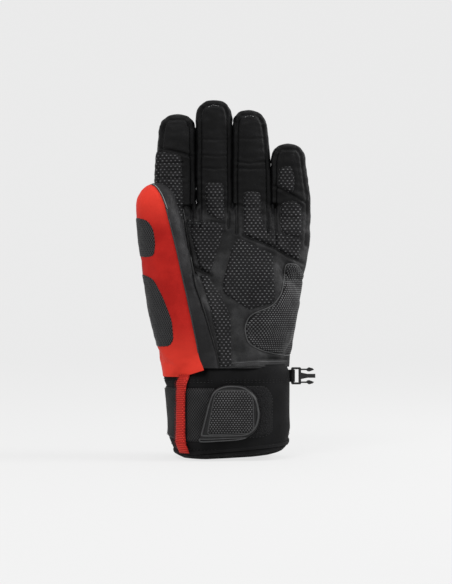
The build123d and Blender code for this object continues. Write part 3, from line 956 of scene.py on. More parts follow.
LEATHER = leather_paint("leather", (0.0022, 0.0022, 0.0024), (0.0048, 0.0048, 0.0052),
                        palm=((0.013, 0.013, 0.0135), (0.036, 0.036, 0.037)))
SMOOTH_LEATHER = leather_paint("strip_leather", (0.012, 0.0118, 0.0125), (0.030, 0.0295, 0.031), 0.42)
SOFTSHELL = softshell_paint("softshell", (0.0035, 0.0035, 0.004), (0.011, 0.011, 0.012))
# the red side is painted lighter towards the thumb's tip as a painted highlight, and by the cuff
RED = softshell_paint("red_softshell", (0.31, 0.007, 0.005), (0.47, 0.016, 0.011), painted_highlight=(0.74, 0.045, 0.026))
GRIP = grip_paint("grip", 3.3, 2.2, 0.21, 0.22)
HEEL_DOTS = dot_paint("heel_dots", 2.3, 1.6, 0.9, base=(0.0022, 0.0022, 0.0025), dot=(0.115, 0.115, 0.118))
TAB_DOTS = dot_paint("tab_dots", 2.2, 1.7, 0.0, "flat", base=(0.0012, 0.0012, 0.0014),
                     dot=(0.095, 0.095, 0.097))
MESH = mesh_paint()
THREAD = plain_paint("thread", (0.03, 0.03, 0.031), 0.6, Specular_IOR_Level=0.2)
RED_THREAD = plain_paint("red_thread", (0.20, 0.006, 0.004), 0.6, Specular_IOR_Level=0.2)
PIPING = plain_paint("piping", (0.004, 0.004, 0.0042), 0.42, Specular_IOR_Level=0.3)
GREY_PIPING = plain_paint("grey_piping", (0.022, 0.022, 0.023), 0.42, Specular_IOR_Level=0.3)
# the heel patch's raised piping, painted light grey as a painted highlight along its edge
HEEL_PIPING_HIGHLIGHT = plain_paint("heel_piping", (0.06, 0.06, 0.061), 0.45, Specular_IOR_Level=0.3)
# thread painted pale for the fingertip stitches: a painted highlight where the tip seams catch the light
THREAD_PAINTED_HIGHLIGHT = plain_paint("pale_thread", (0.25, 0.25, 0.25), 0.6, Specular_IOR_Level=0.2)
RIM_PIPING = plain_paint("rim_piping", (0.040, 0.040, 0.041), 0.4, Specular_IOR_Level=0.3)
# a pale cord over the thumb's tip seam: a painted highlight where the seam catches the light
THUMB_TIP_HIGHLIGHT = plain_paint("light_edge", (0.17, 0.17, 0.17), 0.55)
CUFF_CLOTH = softshell_paint("cuff_cloth", (0.0014, 0.0014, 0.0016), (0.0065, 0.0065, 0.007), sheen=0.0)
HEM_TAPE = softshell_paint("hem_tape", (0.0018, 0.0018, 0.002), (0.006, 0.006, 0.0065))
STRAP = twill_paint("strap_webbing", (0.003, 0.003, 0.0033), (0.036, 0.036, 0.037))
BLACK_WEBBING = ribbed_paint("black_webbing", (0.003, 0.003, 0.0032), (0.02, 0.02, 0.021), 0.9)
RED_WEBBING = ribbed_paint("red_webbing", (0.25, 0.006, 0.004), (0.76, 0.048, 0.032), 1.45, "flat")
LOOP_TAPE = fuzzy_paint("loop_tape", (0.001, 0.001, 0.0011), (0.020, 0.020, 0.021), 1.0, 1.3)
FLEECE = fuzzy_paint("fleece", (0.01, 0.01, 0.011), (0.04, 0.04, 0.043), 0.9, 0.8)
TAB_RUBBER = plain_paint("tab_rubber", (0.006, 0.006, 0.0063), 0.45, Specular_IOR_Level=0.25)
GUARD_RUBBER = plain_paint("guard_rubber", (0.007, 0.007, 0.0075), 0.42, Specular_IOR_Level=0.3)
BOSS_RUBBER = plain_paint("boss_rubber", (0.012, 0.012, 0.0125), 0.36, Specular_IOR_Level=0.35)
CLIP_PLASTIC = plain_paint("clip_plastic", (0.004, 0.004, 0.0045), 0.35, moulded=True,
                           Specular_IOR_Level=0.35)


# ---- making the skin --------------------------------------------------------------------------------
HEM_OF_PALM = 71.4
RED_LOW = 64.3


def make_skin():
    """The finished skin as (object, owner of each vertex)."""
    skin = rough_skin()
    swell(skin)
    fine = skin.modifiers.new("fine", "SUBSURF")
    fine.levels = fine.render_levels = 2
    keep_modifiers(skin)
    owner = digit_of(points_of(skin.data))
    fit_fingers(skin, owner)
    close_fingers(skin, owner)
    fit_hand(skin, owner)
    sculpt(skin, owner)
    return skin, owner


def outward_of_thumb():
    along = thumb_axes()[0]
    return (THUMB_OUTWARD - along * THUMB_OUTWARD.dot(along)).normalized()


def is_red(p):
    """Whether a point of the skin is on the thumb's red side."""
    return (p - THUMB_FOOT).dot(outward_of_thumb()) > 0 and p.y < -3 and p.x < -5


def back_line(p):
    """Above 0 on the back of the glove."""
    return p.y + 0.075 * max(p.z - 180, 0)


def skin_sheet(skin, owner):
    """The skin as labelled faces in leather, softshell and red, cut clean where they meet."""
    bm = bmesh.new()
    bm.from_mesh(skin.data)
    label = bm.verts.layers.int.new("digit")
    for v, number in zip(bm.verts, owner.tolist()):
        v[label] = number
    out = outward_of_thumb()
    slice_faces(bm, lambda p: p.y < -1 and p.x < 0, THUMB_FOOT, out)
    slice_faces(bm, lambda p: (p - THUMB_FOOT).dot(out) > -3 and p.x < -20, (0, -3, 0), (0, 1, 0))
    slice_faces(bm, lambda p: p.z < 181, (0, 0, 0), (0, 1, 0))
    slice_faces(bm, lambda p: p.z > 179 and p.y > -20, (0, 0, 180), (0, 1, 0.075))
    slice_faces(bm, lambda p: True, (0, 0, HEM_OF_PALM), (0, 0, 1))
    slice_faces(bm, lambda p: is_red(p) and p.x < -33, (0, 0, RED_LOW), (0, 0, 1))
    slice_faces(bm, lambda p: is_red(p) and p.x > -36, (-34, 0, RED_LOW), (-0.33, 0, 1))
    for face in bm.faces:
        middle = face.calc_center_median() / MM
        face.material_index = 2 if is_red(middle) else int(back_line(middle) > 0)
        if face.material_index == 0 and strip_side(middle) and all(v[label] in (0, 5) for v in face.verts):
            face.material_index = 3
    low = []
    for face in bm.faces:
        middle = face.calc_center_median() / MM
        red_low = RED_LOW + 0.33 * max(middle.x + 34, 0)
        if middle.z < (red_low if face.material_index == 2 else HEM_OF_PALM):
            low.append(face)
    bmesh.ops.delete(bm, geom=low, context="FACES")
    return bm


def strip_side(p):
    """Whether a point is on the smooth strip up the inner side of the thumb."""
    edge = np.interp(p.z, [z for _, z in STRIP_EDGE[::-1]], [x for x, _ in STRIP_EDGE[::-1]])
    return p.x < edge and p.y < -6


class Surface:
    """The finished skin, for putting things on it."""

    def __init__(self, skin, owner):
        mesh = skin.data
        self.owner = owner
        self.tree = BVHTree.FromPolygons([v.co / MM for v in mesh.vertices],
                                         [p.vertices for p in mesh.polygons])
        self.corners = [p.vertices[0] for p in mesh.polygons]
        normals = np.empty(len(mesh.vertices) * 3)
        mesh.vertices.foreach_get("normal", normals)
        self.normals = normals.reshape(-1, 3)

    def seen(self, x, z, behind=False):
        """Where a front-view point meets the skin: (place, normal, digit)."""
        side = 1 if behind else -1
        place, _, face, _ = self.tree.ray_cast(Vector((x, 200 * side, z)), Vector((0, -side, 0)))
        return self.found(place, face)

    def outwards(self, start, direction):
        place, _, face, _ = self.tree.ray_cast(Vector(start), Vector(direction))
        return self.found(place, face)

    def found(self, place, face):
        if place is None:
            return None
        vertex = self.corners[face]
        return place, Vector(self.normals[vertex]), int(self.owner[vertex])


def lift_sheet(palm, corners, on, lift, edge=1.3, radius=2.2, swollen=0.0):
    """A panel cut from a copy of the palm side by its outline, raised by lift with its edges pressed down."""
    outline = rounded(corners, radius)
    (left, low), (right, high) = np.min(outline, 0) - 2, np.max(outline, 0) + 2
    out = outward_of_thumb()
    drop = []
    part = palm.copy()
    label = part.verts.layers.int["digit"]
    for f in part.faces:
        p = f.calc_center_median() / MM
        good = left < p.x < right and low < p.z < high
        if good:
            outer = (p - THUMB_FOOT).dot(out) > 0
            good = outer if on == "thumb" else all(v[label] != 5 for v in f.verts)
        if not good:
            drop.append(f)
    bmesh.ops.delete(part, geom=drop, context="FACES")
    for (ax, az), (bx, bz) in zip(outline, outline[1:] + outline[:1]):
        normal = Vector((az - bz, 0, bx - ax))
        if normal.length > 1e-6:
            geom = [*part.verts, *part.edges, *part.faces]
            spot = Vector((ax, 0, az)) * MM
            bmesh.ops.bisect_plane(part, geom=geom, plane_co=spot, plane_no=normal.normalized(), dist=1e-7)
    part.faces.index_update()
    centres = [f.calc_center_median() / MM for f in part.faces]
    within = inside(outline, [c.x for c in centres], [c.z for c in centres])
    bmesh.ops.delete(part, geom=[f for f, keep in zip(part.faces, within) if not keep], context="FACES")
    part.normal_update()
    points = np.array([v.co / MM for v in part.verts]).reshape(-1, 3)
    depth = np.clip(from_line(points, outline, closed=True) / edge, 0, 1)
    rise = lift * depth * (2 - depth) - 0.12 * (1 - depth)
    if swollen:
        rise += swollen * smooth(from_line(points, outline, closed=True) / 14)
    for v, h in zip(part.verts, rise):
        v.co += v.normal * (h * MM)
    for f in part.faces:
        f.material_index = 0
    return part


def new_labelled():
    bm = bmesh.new()
    bm.verts.layers.int.new("digit")
    return bm


def lay_stitches(bm, surface, line, fits, pitch=3.0, length=1.9, thick=0.3, lift=0.1, closed=False,
                 behind=False):
    """Stitches along a front-view line, each a small spindle sunk into the skin."""
    label = bm.verts.layers.int["digit"]
    points = [Vector(p) for p in line] + ([Vector(line[0])] if closed else [])
    lengths = [0.0]
    for a, b in zip(points, points[1:]):
        lengths.append(lengths[-1] + (b - a).length)
    count = max(int(lengths[-1] / pitch), 1)
    for k in range(count):
        s = (k + 0.5) * lengths[-1] / count
        i = max(j for j, l in enumerate(lengths[:-1]) if l <= s)
        t = (s - lengths[i]) / max(lengths[i + 1] - lengths[i], 1e-9)
        here = points[i].lerp(points[i + 1], t)
        run = (points[i + 1] - points[i]).normalized() * 0.6
        hits = [surface.seen(*(here + run * side), behind) for side in (-1, 1)]
        if None in hits or not fits(hits[0]) or (hits[1][0] - hits[0][0]).length > 4:
            continue
        direction = (hits[1][0] - hits[0][0]).normalized()
        normal = (hits[0][1] + hits[1][1]).normalized()
        across = normal.cross(direction).normalized()
        middle = (hits[0][0] + hits[1][0]) / 2 + normal * lift
        turn = Matrix((direction, across, normal)).transposed().to_4x4()
        size = Matrix.Diagonal((length / 2, thick, thick, 1))
        spot = Matrix.Scale(MM, 4) @ Matrix.Translation(middle) @ turn @ size
        made = bmesh.ops.create_icosphere(bm, subdivisions=1, radius=1.0, matrix=spot)["verts"]
        for v in made:
            v[label] = hits[0][2]


def run_piping(bm, path, labels, radius=0.6, sides=8):
    """A round cord along points on the skin."""
    label = bm.verts.layers.int["digit"]
    curve = bpy.data.curves.new("cord", "CURVE")
    curve.dimensions = "3D"
    curve.bevel_depth, curve.bevel_resolution = radius * MM, sides // 4
    curve.use_fill_caps = True
    spline = curve.splines.new("POLY")
    spline.points.add(len(path) - 1)
    for point, place in zip(spline.points, path):
        point.co = (*(Vector(place) * MM), 1)
    carrier = bpy.data.objects.new("cord", curve)
    mesh = bpy.data.meshes.new_from_object(carrier)
    first = len(bm.verts)
    bm.from_mesh(mesh)
    bm.verts.ensure_lookup_table()
    places = np.array([tuple(p) for p in path])
    for v in list(bm.verts)[first:]:
        v[label] = labels[int(np.abs(places - np.array(v.co / MM)).sum(1).argmin())]
    bpy.data.objects.remove(carrier)
    bpy.data.curves.remove(curve)
    bpy.data.meshes.remove(mesh)


def front_path(surface, line, step=1.5, lift=0.15, closed=False, inwards=9):
    """A front-view line laid on the skin as (points, digits); a point past its edge moves inwards onto it."""
    points = [Vector(p) for p in line] + ([Vector(line[0])] if closed else [])
    path, digits = [], []
    for a, b in zip(points, points[1:]):
        count = max(int((b - a).length / step), 1)
        for k in range(count):
            spot = a.lerp(b, k / count)
            hit = None
            for back in range(inwards * 2):
                hit = hit or surface.seen(spot.x - math.copysign(back / 2, spot.x), spot.y)
            if hit:
                path.append(hit[0] + hit[1] * lift)
                digits.append(hit[2])
    return path, digits


# ---- the cuff's plan --------------------------------------------------------------------------------
CUFF_X, CUFF_Y, CUFF_CORNER = (-45.5, 49.1), (-30.0, 30.0), 27.6
QUARTER = CUFF_CORNER * math.pi / 2
FRONT_RIGHT, FRONT_LEFT = CUFF_X[1] - CUFF_CORNER, CUFF_X[0] + CUFF_CORNER
SIDE = CUFF_Y[1] - CUFF_Y[0] - 2 * CUFF_CORNER
CUFF_WALK = ((FRONT_RIGHT, 0), (QUARTER, 1), (SIDE, 0), (QUARTER, 1), (FRONT_RIGHT - FRONT_LEFT, 0),
             (QUARTER, 1),
             (SIDE, 0), (QUARTER, 1), (-FRONT_LEFT, 0))
CUFF_ROUND = sum(length for length, _ in CUFF_WALK)


def cuff_spot(s, out):
    """The plan point s round the cuff from x = 0 at the front, towards +X, and out from its surface."""
    s %= CUFF_ROUND
    place, heading = Vector((0, CUFF_Y[0])), 0.0
    for length, bends in CUFF_WALK:
        step = min(s, length)
        if bends:
            centre = place + CUFF_CORNER * Vector((-math.sin(heading), math.cos(heading)))
            heading += step / CUFF_CORNER
            place = centre - CUFF_CORNER * Vector((-math.sin(heading), math.cos(heading)))
        else:
            place = place + step * Vector((math.cos(heading), math.sin(heading)))
        s -= step
        if s <= 0:
            break
    return place + Vector((math.sin(heading), -math.cos(heading))) * out


def round_from_x(x, out=0.0):
    """How far round the cuff a front-view x is, at some distance out."""
    if FRONT_LEFT <= x <= FRONT_RIGHT:
        return x
    side, edge = (1, FRONT_RIGHT) if x > 0 else (-1, FRONT_LEFT)
    reach = min(side * (x - edge) / (CUFF_CORNER + out), 1.0)
    return edge + side * CUFF_CORNER * math.asin(reach)


# how high the hem's edge and the front tape's edge lie at each x
HEM_RISE = ((-46, 4.2), (-36, 1.5), (-15, 1.2), (0, 1.9), (20, 3.1), (33, 4.5), (40, 5.9), (44, 7.2),
            (47, 9.4), (49.1, 12))
TAPE_RISE = ((-40, 2), (-28, 3.8), (-15, 5.0), (49, 10.6))


def hem_lift(x):
    return float(np.interp(x, *np.array(HEM_RISE).T))


def tape_lift(x, y):
    """How far the hem's tape rises above the mouth's edge along the front."""
    front = 1 - ease((y + 10) / 26)
    return front * max(0.0, float(np.interp(x, *np.array(TAPE_RISE).T)) - hem_lift(x))


def ease(t):
    t = min(max(t, 0.0), 1.0)
    return t * t * (3 - 2 * t)


# how far the cuff's sides stand off its plan, as (height, out)
CUFF_LEFT = ((0, -5.2), (4, -4.0), (8, -2.6), (12, -1.0), (20, -1.6), (30, -1.6), (45, -0.6),
             (55, 0.4), (62, 3.0), (66, 3.6))
CUFF_RIGHT = ((0, 0.0), (6, 0.2), (12, 1.0), (75, 1.0))


def cuff_puff(s, z):
    """How far the cuff's cloth stands off its plan: soft waves, and a flare where it meets the hand."""
    wave = 0.35 * math.sin(s / 9.5 + 0.04 * z) * math.sin(z / 17 + s / 31) + 0.12 * math.sin(s / 4.1 - z / 13)
    wave *= ease((z - 6) / 10) * (1 - ease((z - 66) / 6))
    x, y = cuff_spot(s, 0)
    left, right = ease((-x - 15) / 28), ease((x - 15) / 28)
    wave += left * np.interp(z, *np.array(CUFF_LEFT).T) + right * np.interp(z, *np.array(CUFF_RIGHT).T)
    front_left = ease((-x - 12) / 6) * ease((-y - 4) / 12)
    return wave - 4.5 * front_left * ease((z - 59) / 6)


def wrap(bm, tape=False):
    """Bends flat work, in millimetres as (round, -out, height), round the cuff."""
    flat = bm.verts.layers.float_vector.new("flat")
    for v in bm.verts:
        v[flat] = v.co
    for v in bm.verts:
        s, out, z = v.co.x, -v.co.y, v.co.z
        spot = cuff_spot(s, out + cuff_puff(s, z))
        fade = 1 - ease((z - 9) / 26)
        plan = cuff_spot(s, 0)
        lift = (hem_lift(plan.x) + (tape_lift(*plan) if tape else 0)) * fade
        v.co = Vector((spot.x, spot.y, z + lift)) * MM
    bmesh.ops.recalc_face_normals(bm, faces=bm.faces)
    return bm


def tube_round(rows, segments=220, closed=True):
    """Flat work all round the cuff, through a profile of (out, height)."""
    bm = bmesh.new()
    row = [bm.verts.new((CUFF_ROUND * k / segments, 0, 0)) for k in range(segments)]
    edges = [bm.edges.new(pair) for pair in zip(row, row[1:] + row[:1])]
    first = edges
    for step, (out, z) in enumerate(rows):
        if step:
            grown = bmesh.ops.extrude_edge_only(bm, edges=edges)["geom"]
            row = [g for g in grown if isinstance(g, bmesh.types.BMVert)]
            edges = [g for g in grown if isinstance(g, bmesh.types.BMEdge)]
        for v in row:
            v.co.y, v.co.z = -out, z
    if closed:
        bmesh.ops.bridge_loops(bm, edges=[*first, *edges])
    return bm


def panel(outline, low, high, edge=1.0, grid=2.5, dome=0.0):
    """Flat work: an outline in (round, height) with thickness from low to high, its edges rounded over."""
    bm = bmesh.new()
    face = bm.faces.new([bm.verts.new((x, 0, z)) for x, z in outline])
    for inset in (0.18, 0.3, 0.52):
        bmesh.ops.inset_region(bm, faces=[face], thickness=inset * edge, use_even_offset=True)
    xs, zs = [p[0] for p in outline], [p[1] for p in outline]
    for axis, low_end, high_end in ((0, min(xs), max(xs)), (2, min(zs), max(zs))):
        normal = Vector((1, 0, 0)) if axis == 0 else Vector((0, 0, 1))
        for k in range(1, int((high_end - low_end) / grid) + 1):
            spot = normal * (low_end + k * (high_end - low_end) / (int((high_end - low_end) / grid) + 1))
            geom = [*bm.verts, *bm.edges, *bm.faces]
            bmesh.ops.bisect_plane(bm, geom=geom, plane_co=spot, plane_no=normal, dist=1e-4)
    grown = bmesh.ops.extrude_face_region(bm, geom=list(bm.faces))["geom"]
    top = [g for g in grown if isinstance(g, bmesh.types.BMVert)]
    points = np.array([v.co for v in top])
    from_edge = from_line(points, outline, closed=True)
    t = np.clip(from_edge / edge, 0, 1)
    far = max(from_edge.max(), 1e-6)
    rise = (high - low) * (0.25 + 0.75 * np.sqrt(1 - (1 - t) ** 2)) + dome * (1 - (1 - from_edge / far) ** 2)
    for v in bm.verts:
        v.co.y = -low
    for v, up in zip(top, rise):
        v.co.y = -(low + up)
    return bm


def flat_outline(points, out, radius):
    """A front-view outline rounded off and unrolled."""
    return [(round_from_x(x, out), z) for x, z in rounded(points, radius)]


def cord_round(bm, line, out, radius, closed=True):
    """Flat work: piping along (round, height) points, added to bm."""
    curve = bpy.data.curves.new("cord", "CURVE")
    curve.dimensions = "3D"
    curve.bevel_depth, curve.bevel_resolution = radius, 2
    curve.use_fill_caps = True
    spline = curve.splines.new("POLY")
    spline.points.add(len(line) - 1)
    spline.use_cyclic_u = closed
    for point, (s, z) in zip(spline.points, line):
        point.co = (s, -out, z, 1)
    carrier = bpy.data.objects.new("cord", curve)
    mesh = bpy.data.meshes.new_from_object(carrier)
    bm.from_mesh(mesh)
    bpy.data.objects.remove(carrier)
    bpy.data.curves.remove(curve)
    bpy.data.meshes.remove(mesh)


def even_line(line, step, closed=True):
    """Points a step apart along a line."""
    points = [Vector(p) for p in line] + ([Vector(line[0])] if closed else [])
    result = []
    for a, b in zip(points, points[1:]):
        count = max(int(round((b - a).length / step)), 1)
        result += [tuple(a.lerp(b, k / count)) for k in range(count)]
    return result if closed else result + [tuple(points[-1])]


def shrunk(outline, by):
    """An outline moved inwards."""
    bm = bmesh.new()
    face = bm.faces.new([bm.verts.new((x, z, 0)) for x, z in outline])
    bmesh.ops.inset_region(bm, faces=[face], thickness=by, use_even_offset=True)
    points = [(v.co.x, v.co.y) for v in face.verts]
    bm.free()
    return points


def stitch_round(bm, line, out, pitch=2.6, length=1.6, thick=0.26, closed=False):
    """Flat work: stitches along (round, height) points."""
    points = [Vector(p) for p in line] + ([Vector(line[0])] if closed else [])
    lengths = [0.0]
    for a, b in zip(points, points[1:]):
        lengths.append(lengths[-1] + (b - a).length)
    count = max(int(lengths[-1] / pitch), 1)
    for k in range(count):
        at = (k + 0.5) * lengths[-1] / count
        i = max(j for j, l in enumerate(lengths[:-1]) if l <= at)
        here = points[i].lerp(points[i + 1], (at - lengths[i]) / max(lengths[i + 1] - lengths[i], 1e-9))
        run = points[i + 1] - points[i]
        turn = Matrix.Rotation(-math.atan2(run.y, run.x), 4, "Y")
        size = Matrix.Diagonal((length / 2, thick, thick, 1))
        spot = Matrix.Translation((here.x, -out, here.y)) @ turn @ size
        bmesh.ops.create_icosphere(bm, subdivisions=1, radius=1.0, matrix=spot)


def finish_piece(name, bm, material, slot, body, *nodes, fill=None, blend=None):
    """A finished piece on a body, standing for its CAD nodes."""
    piece = new_object(name, bm, [material])
    remember_rest(piece)
    if blend:
        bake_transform(piece)
    else:
        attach(piece, body)
    if nodes:
        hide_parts(*nodes)
    return piece


# ---- hand: skin, patches, piping and stitching ------------------------------------------------------
SKIN_KINDS = (("palm", LEATHER, "leather"), ("back", SOFTSHELL, "softshell"), ("red", RED, "red_softshell"),
              ("strip", SMOOTH_LEATHER, "leather"))
def on_red(hit):
    return is_red(hit[0])


def off_thumb(hit):
    return hit[2] != 5 and not is_red(hit[0])


def anywhere(hit):
    return True


GRIP_NODES = {
    "index_grip": {"index_lower": "index_patch_lower", "index_upper": "index_patch_upper"},
    "middle_grip": {"middle_lower": "middle_patch_lower"},
    "ring_grip": {"hand": "knuckle_line_patch", "ring_lower": "ring_patch_lower"},
    "little_grip": {"little_lower": "little_patch_lower"},
    "little_tip_grip": {"little_upper": "little_patch_upper"},
    "mount_grip": {"hand": "index_mount_patch"},
    "centre_grip": {"hand": "palm_centre_patch"},
    "thumb_base_grip": {"hand": "thenar_strip_patch"},
    "heel": {"hand": "heel_patch"},
    "thumb_mesh": {"thumb_lower": "thumb_mesh_patch"},
    "thenar_mesh": {"hand": "thenar_mesh_patch"},
}


GUARDS = {
    "knuckle_guard": [(-49, 150), (-48.5, 180), (-20, 188), (8, 188), (30, 183), (51, 171), (53, 147),
                      (20, 154), (-20, 158)],
    "back_pad": [(-36, 142), (-16, 149), (18, 145.5), (40, 138.5), (36, 116), (20, 104), (-14, 104),
                 (-32, 116)],
}
BOSSES = (
    [(-44, 159), (-43, 176), (-27, 181), (-26, 161.5)], [(-21, 162), (-21, 182), (-3, 182.6), (-3, 160.8)],
    [(2, 160.4), (2, 182.4), (20, 180.5), (20, 158.4)], [(25, 157), (26, 178.4), (45, 168.8), (46, 154)],
    *[[(-27 + d, 137 - 9 * k), (2, 141 - 9 * k), (31 - d, 131.6 - 9 * k), (31 - d, 128 - 9 * k),
       (2, 136.6 - 9 * k),
       (-27 + d, 132.8 - 9 * k)] for k, d in ((0, 0), (1, 1.5), (2, 5))],
)
# stitches over the middle and ring tips, painted pale as a painted highlight
TIP_STITCHES = ([(-14, 273.6), (-10, 275.6), (-5, 274.4)], [(14.2, 265.6), (18, 267.4), (22, 266.2)])
BACK_SEAMS = (
    [(-46, 146), (-40, 110), (-38, 82)], [(48, 140), (44, 110), (42, 82)],
    *[[(((a + b) / 2), z) for z in (192, 215, top - 12)] for (_, a, b, *_), (top, _) in
      [(DIGITS[n][2], TIPS[n]) for n in FINGERS]],
)


def stand_for(made, nodes):
    for (home, _), piece in made.items():
        if nodes.get(home) in frame["nodes"]:
            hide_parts(nodes[home])


def dress_hand():
    skin, owner = make_skin()
    surface = Surface(skin, owner)
    sheet = skin_sheet(skin, owner)
    bpy.data.objects.remove(skin)
    palm = sheet.copy()
    bmesh.ops.delete(palm, geom=[f for f in palm.faces if f.normal.y > 0.2], context="FACES")
    palm.faces.index_update()

    panels = {name: (on, corners, GRIP, "grip", 0.55, 1.2, 2.6) for name, (on, corners) in GRIPS.items()}
    panels["heel"] = ("hand", HEEL, HEEL_DOTS, "grip", 1.0, 2.2, 5.0)
    for name, corners in THUMB_MESHES.items():
        panels[name] = ("thumb", corners, MESH, "mesh", 0.45, 1.0, 4.0)
    thread, red_thread = new_labelled(), new_labelled()
    for name, (on, corners, material, slot, lift, edge, radius) in panels.items():
        part = lift_sheet(palm, corners, on, lift, edge, radius)
        made = share_out(name, part, [("", material, slot)])
        stand_for(made, GRIP_NODES[name])
        inner = shrunk(rounded(corners, radius), 0.9 if slot == "grip" else -0.9)
        fits = on_red if on == "thumb" else off_thumb
        if name != "heel":
            lay_stitches(red_thread if slot == "mesh" else thread, surface, inner, fits, closed=True,
                         pitch=2.9, length=1.5,
                         thick=0.24, lift=lift + 0.05 if slot == "grip" else 0.05)
    palm.free()
    back = sheet.copy()
    bmesh.ops.delete(back, geom=[f for f in back.faces if f.normal.y < 0.1], context="FACES")
    for name, corners in GUARDS.items():
        made = share_out(name, lift_sheet(back, corners, "back", 1.6, 2.4, 5.0, swollen=1.3),
                         [("", GUARD_RUBBER, "rubber")])
        for piece in made.values():
            if name == "knuckle_guard":
                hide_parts("knuckle_guard")
        rim = shrunk(rounded(corners, 5.0), -1.6)
        lay_stitches(thread, surface, rim, anywhere, closed=True, pitch=2.9, length=1.7, behind=True)
    for number, corners in enumerate(BOSSES):
        made = share_out(f"guard_boss_{number}",
                         lift_sheet(back, corners, "back", 3.9, 1.8, 2.6, swollen=1.2),
                         [("", BOSS_RUBBER, "rubber")])
        for piece in made.values():
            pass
    back.free()
    for line in BACK_SEAMS:
        lay_stitches(thread, surface, line, anywhere, behind=True)
    made = share_out("skin", sheet, SKIN_KINDS)
    for (home, kind), piece in made.items():
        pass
    hand_nodes = {"palm": ("palm_leather",), "back": ("back_softshell",), "red": ("thenar_panel",),
                  "strip": ("thenar_side_panel",)}
    for kind, nodes in hand_nodes.items():
        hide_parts(*nodes)
    for digit in ALL_DIGITS:
        for level in ("lower", "upper"):
            home = f"{digit}_{level}"
            outer, inner = ("red", "strip") if digit == "thumb" else ("back", "palm")
            inner = inner if (home, inner) in made else "palm"
            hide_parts(f"{digit}_back_{level}", f"{digit}_liner_{level}")
            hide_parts(f"{digit}_palm_{level}")

    # fingertip stitches in pale thread, a painted highlight on the tip seams
    highlit_stitches = new_labelled()
    for line in TIP_STITCHES:
        lay_stitches(highlit_stitches, surface, line, anywhere, pitch=1.7, length=1.5, thick=0.22)
    share_out("tip_stitching", highlit_stitches, [("", THREAD_PAINTED_HIGHLIGHT, "leather")], whole=True)
    share_out("stitching", thread, [("", THREAD, "leather")], whole=True)
    share_out("red_stitching", red_thread, [("", RED_THREAD, "red_softshell")], whole=True)
    # the heel patch's piping; its light grey is a painted highlight
    heel_edge = new_labelled()
    path, digits = front_path(surface, shrunk(rounded(HEEL, 5.0), -0.1), closed=True, lift=0.3)
    run_piping(heel_edge, path + path[:1], digits + digits[:1], radius=0.5)
    share_out("heel_piping", heel_edge, [("", HEEL_PIPING_HIGHLIGHT, "leather")])

    strip_edge = new_labelled()
    path, digits = front_path(surface, STRIP_EDGE[::-1], lift=0.25, inwards=1)
    run_piping(strip_edge, path, digits, radius=0.75)
    share_out("strip_piping", strip_edge, [("", PIPING, "leather")])
    # the palm's turned hem: a lighter cord above as a painted highlight on the fold, and a dark cord below as
    # painted shade under it
    for height, labels in ((76.4, ("wrist_fold", RIM_PIPING)), (73.0, ("wrist_edge", PIPING))):
        fold = new_labelled()
        path, digits = front_path(surface, [(4.5, height - 1.2), (22, height), (49, height - 0.6)], lift=0.1)
        run_piping(fold, path, digits, radius=0.45)
        share_out(labels[0], fold, [("", labels[1], "leather")])
    seam = new_labelled()
    path, digits = thumb_seam(surface)
    run_piping(seam, path, digits, radius=0.5)
    share_out("thumb_piping", seam, [("", GREY_PIPING, "leather")])
    # painted highlight: a pale cord along the seam over the thumb's tip
    tip = new_labelled()
    path, digits = thumb_seam(surface, 128)
    run_piping(tip, [p + outward_of_thumb() * -0.9 for p in path], digits, radius=0.35)
    share_out("thumb_edge", tip, [("", THUMB_TIP_HIGHLIGHT, "leather")])
    for name, x, z in (("index", -24.8, 194.5), ("middle", 5.0, 196), ("ring", 36.4, 193)):
        gusset = bmesh.new()
        for k in range(7):
            t = k / 6
            wide, deep = 2.7 * (1 - 0.7 * t**2), 9.0 * math.sqrt(1 - (0.94 * t) ** 2)
            ring = bmesh.ops.create_circle(gusset, segments=20, radius=1.0)["verts"]
            bmesh.ops.scale(gusset, verts=ring, vec=(wide, deep, 1))
            bmesh.ops.translate(gusset, verts=ring, vec=(x, -1.0, z - 5 + 13 * t))
        bmesh.ops.bridge_loops(gusset, edges=list(gusset.edges))
        bmesh.ops.holes_fill(gusset, edges=[e for e in gusset.edges if e.is_boundary])
        bmesh.ops.recalc_face_normals(gusset, faces=gusset.faces)
        bmesh.ops.scale(gusset, verts=gusset.verts, vec=(MM, MM, MM))
        finish_piece(f"{name}_gusset", gusset, SOFTSHELL, "softshell", "hand", fill=0.5)
    return surface


def thumb_seam(surface, from_length=6.0):
    """Points along the front seam between the thumb's red side and its palm side, up over the tip."""
    along, _, _ = thumb_axes()
    out = outward_of_thumb()
    front = along.cross(out).normalized()
    if front.y > 0:
        front = -front
    path, digits = [], []
    length = from_length
    while length < 122:
        hit = surface.outwards(THUMB_FOOT + along * length, front)
        if hit:
            path.append(hit[0] + hit[1] * 0.2)
            digits.append(hit[2])
        length += 1.5
    for k in range(0, 13):
        turn = math.radians(k * 7.5)
        hit = surface.outwards(THUMB_FOOT + along * 120, front * math.cos(turn) + along * math.sin(turn))
        if hit:
            path.append(hit[0] + hit[1] * 0.2)
            digits.append(hit[2])
    return path, digits


# ---- cuff, strap and clip ---------------------------------------------------------------------------
TAB = [(-20.4, 14.0), (-17.8, 13.9), (11, 14.4), (19.4, 17.2), (24.6, 24.2), (26.9, 35.7), (24, 49.6),
       (14.6, 58.3), (-0.8, 58.8),
       (-10.4, 54.8), (-14, 45), (-20.0, 20.6), (-20.4, 16.4)]
TAB_RIM = [(-19.0, 19.0), (-15.6, 18.8), (4, 18.2), (16.4, 18.2), (22.8, 24.6), (25.4, 35.7), (22.8, 48.4),
           (13.8, 57), (-0.5, 57.6),
           (-9.2, 53.8), (-12.6, 45), (-18.2, 22.0)]
TAB_GRIP = [(-14.4, 19.8), (-9.2, 48.5), (-6.8, 54.0), (15.5, 54.4), (20.6, 49.5), (21.4, 24), (18.6, 19.8)]
FOLD = round_from_x(-31.47, 2.3)  # where the strap folds, round the cuff


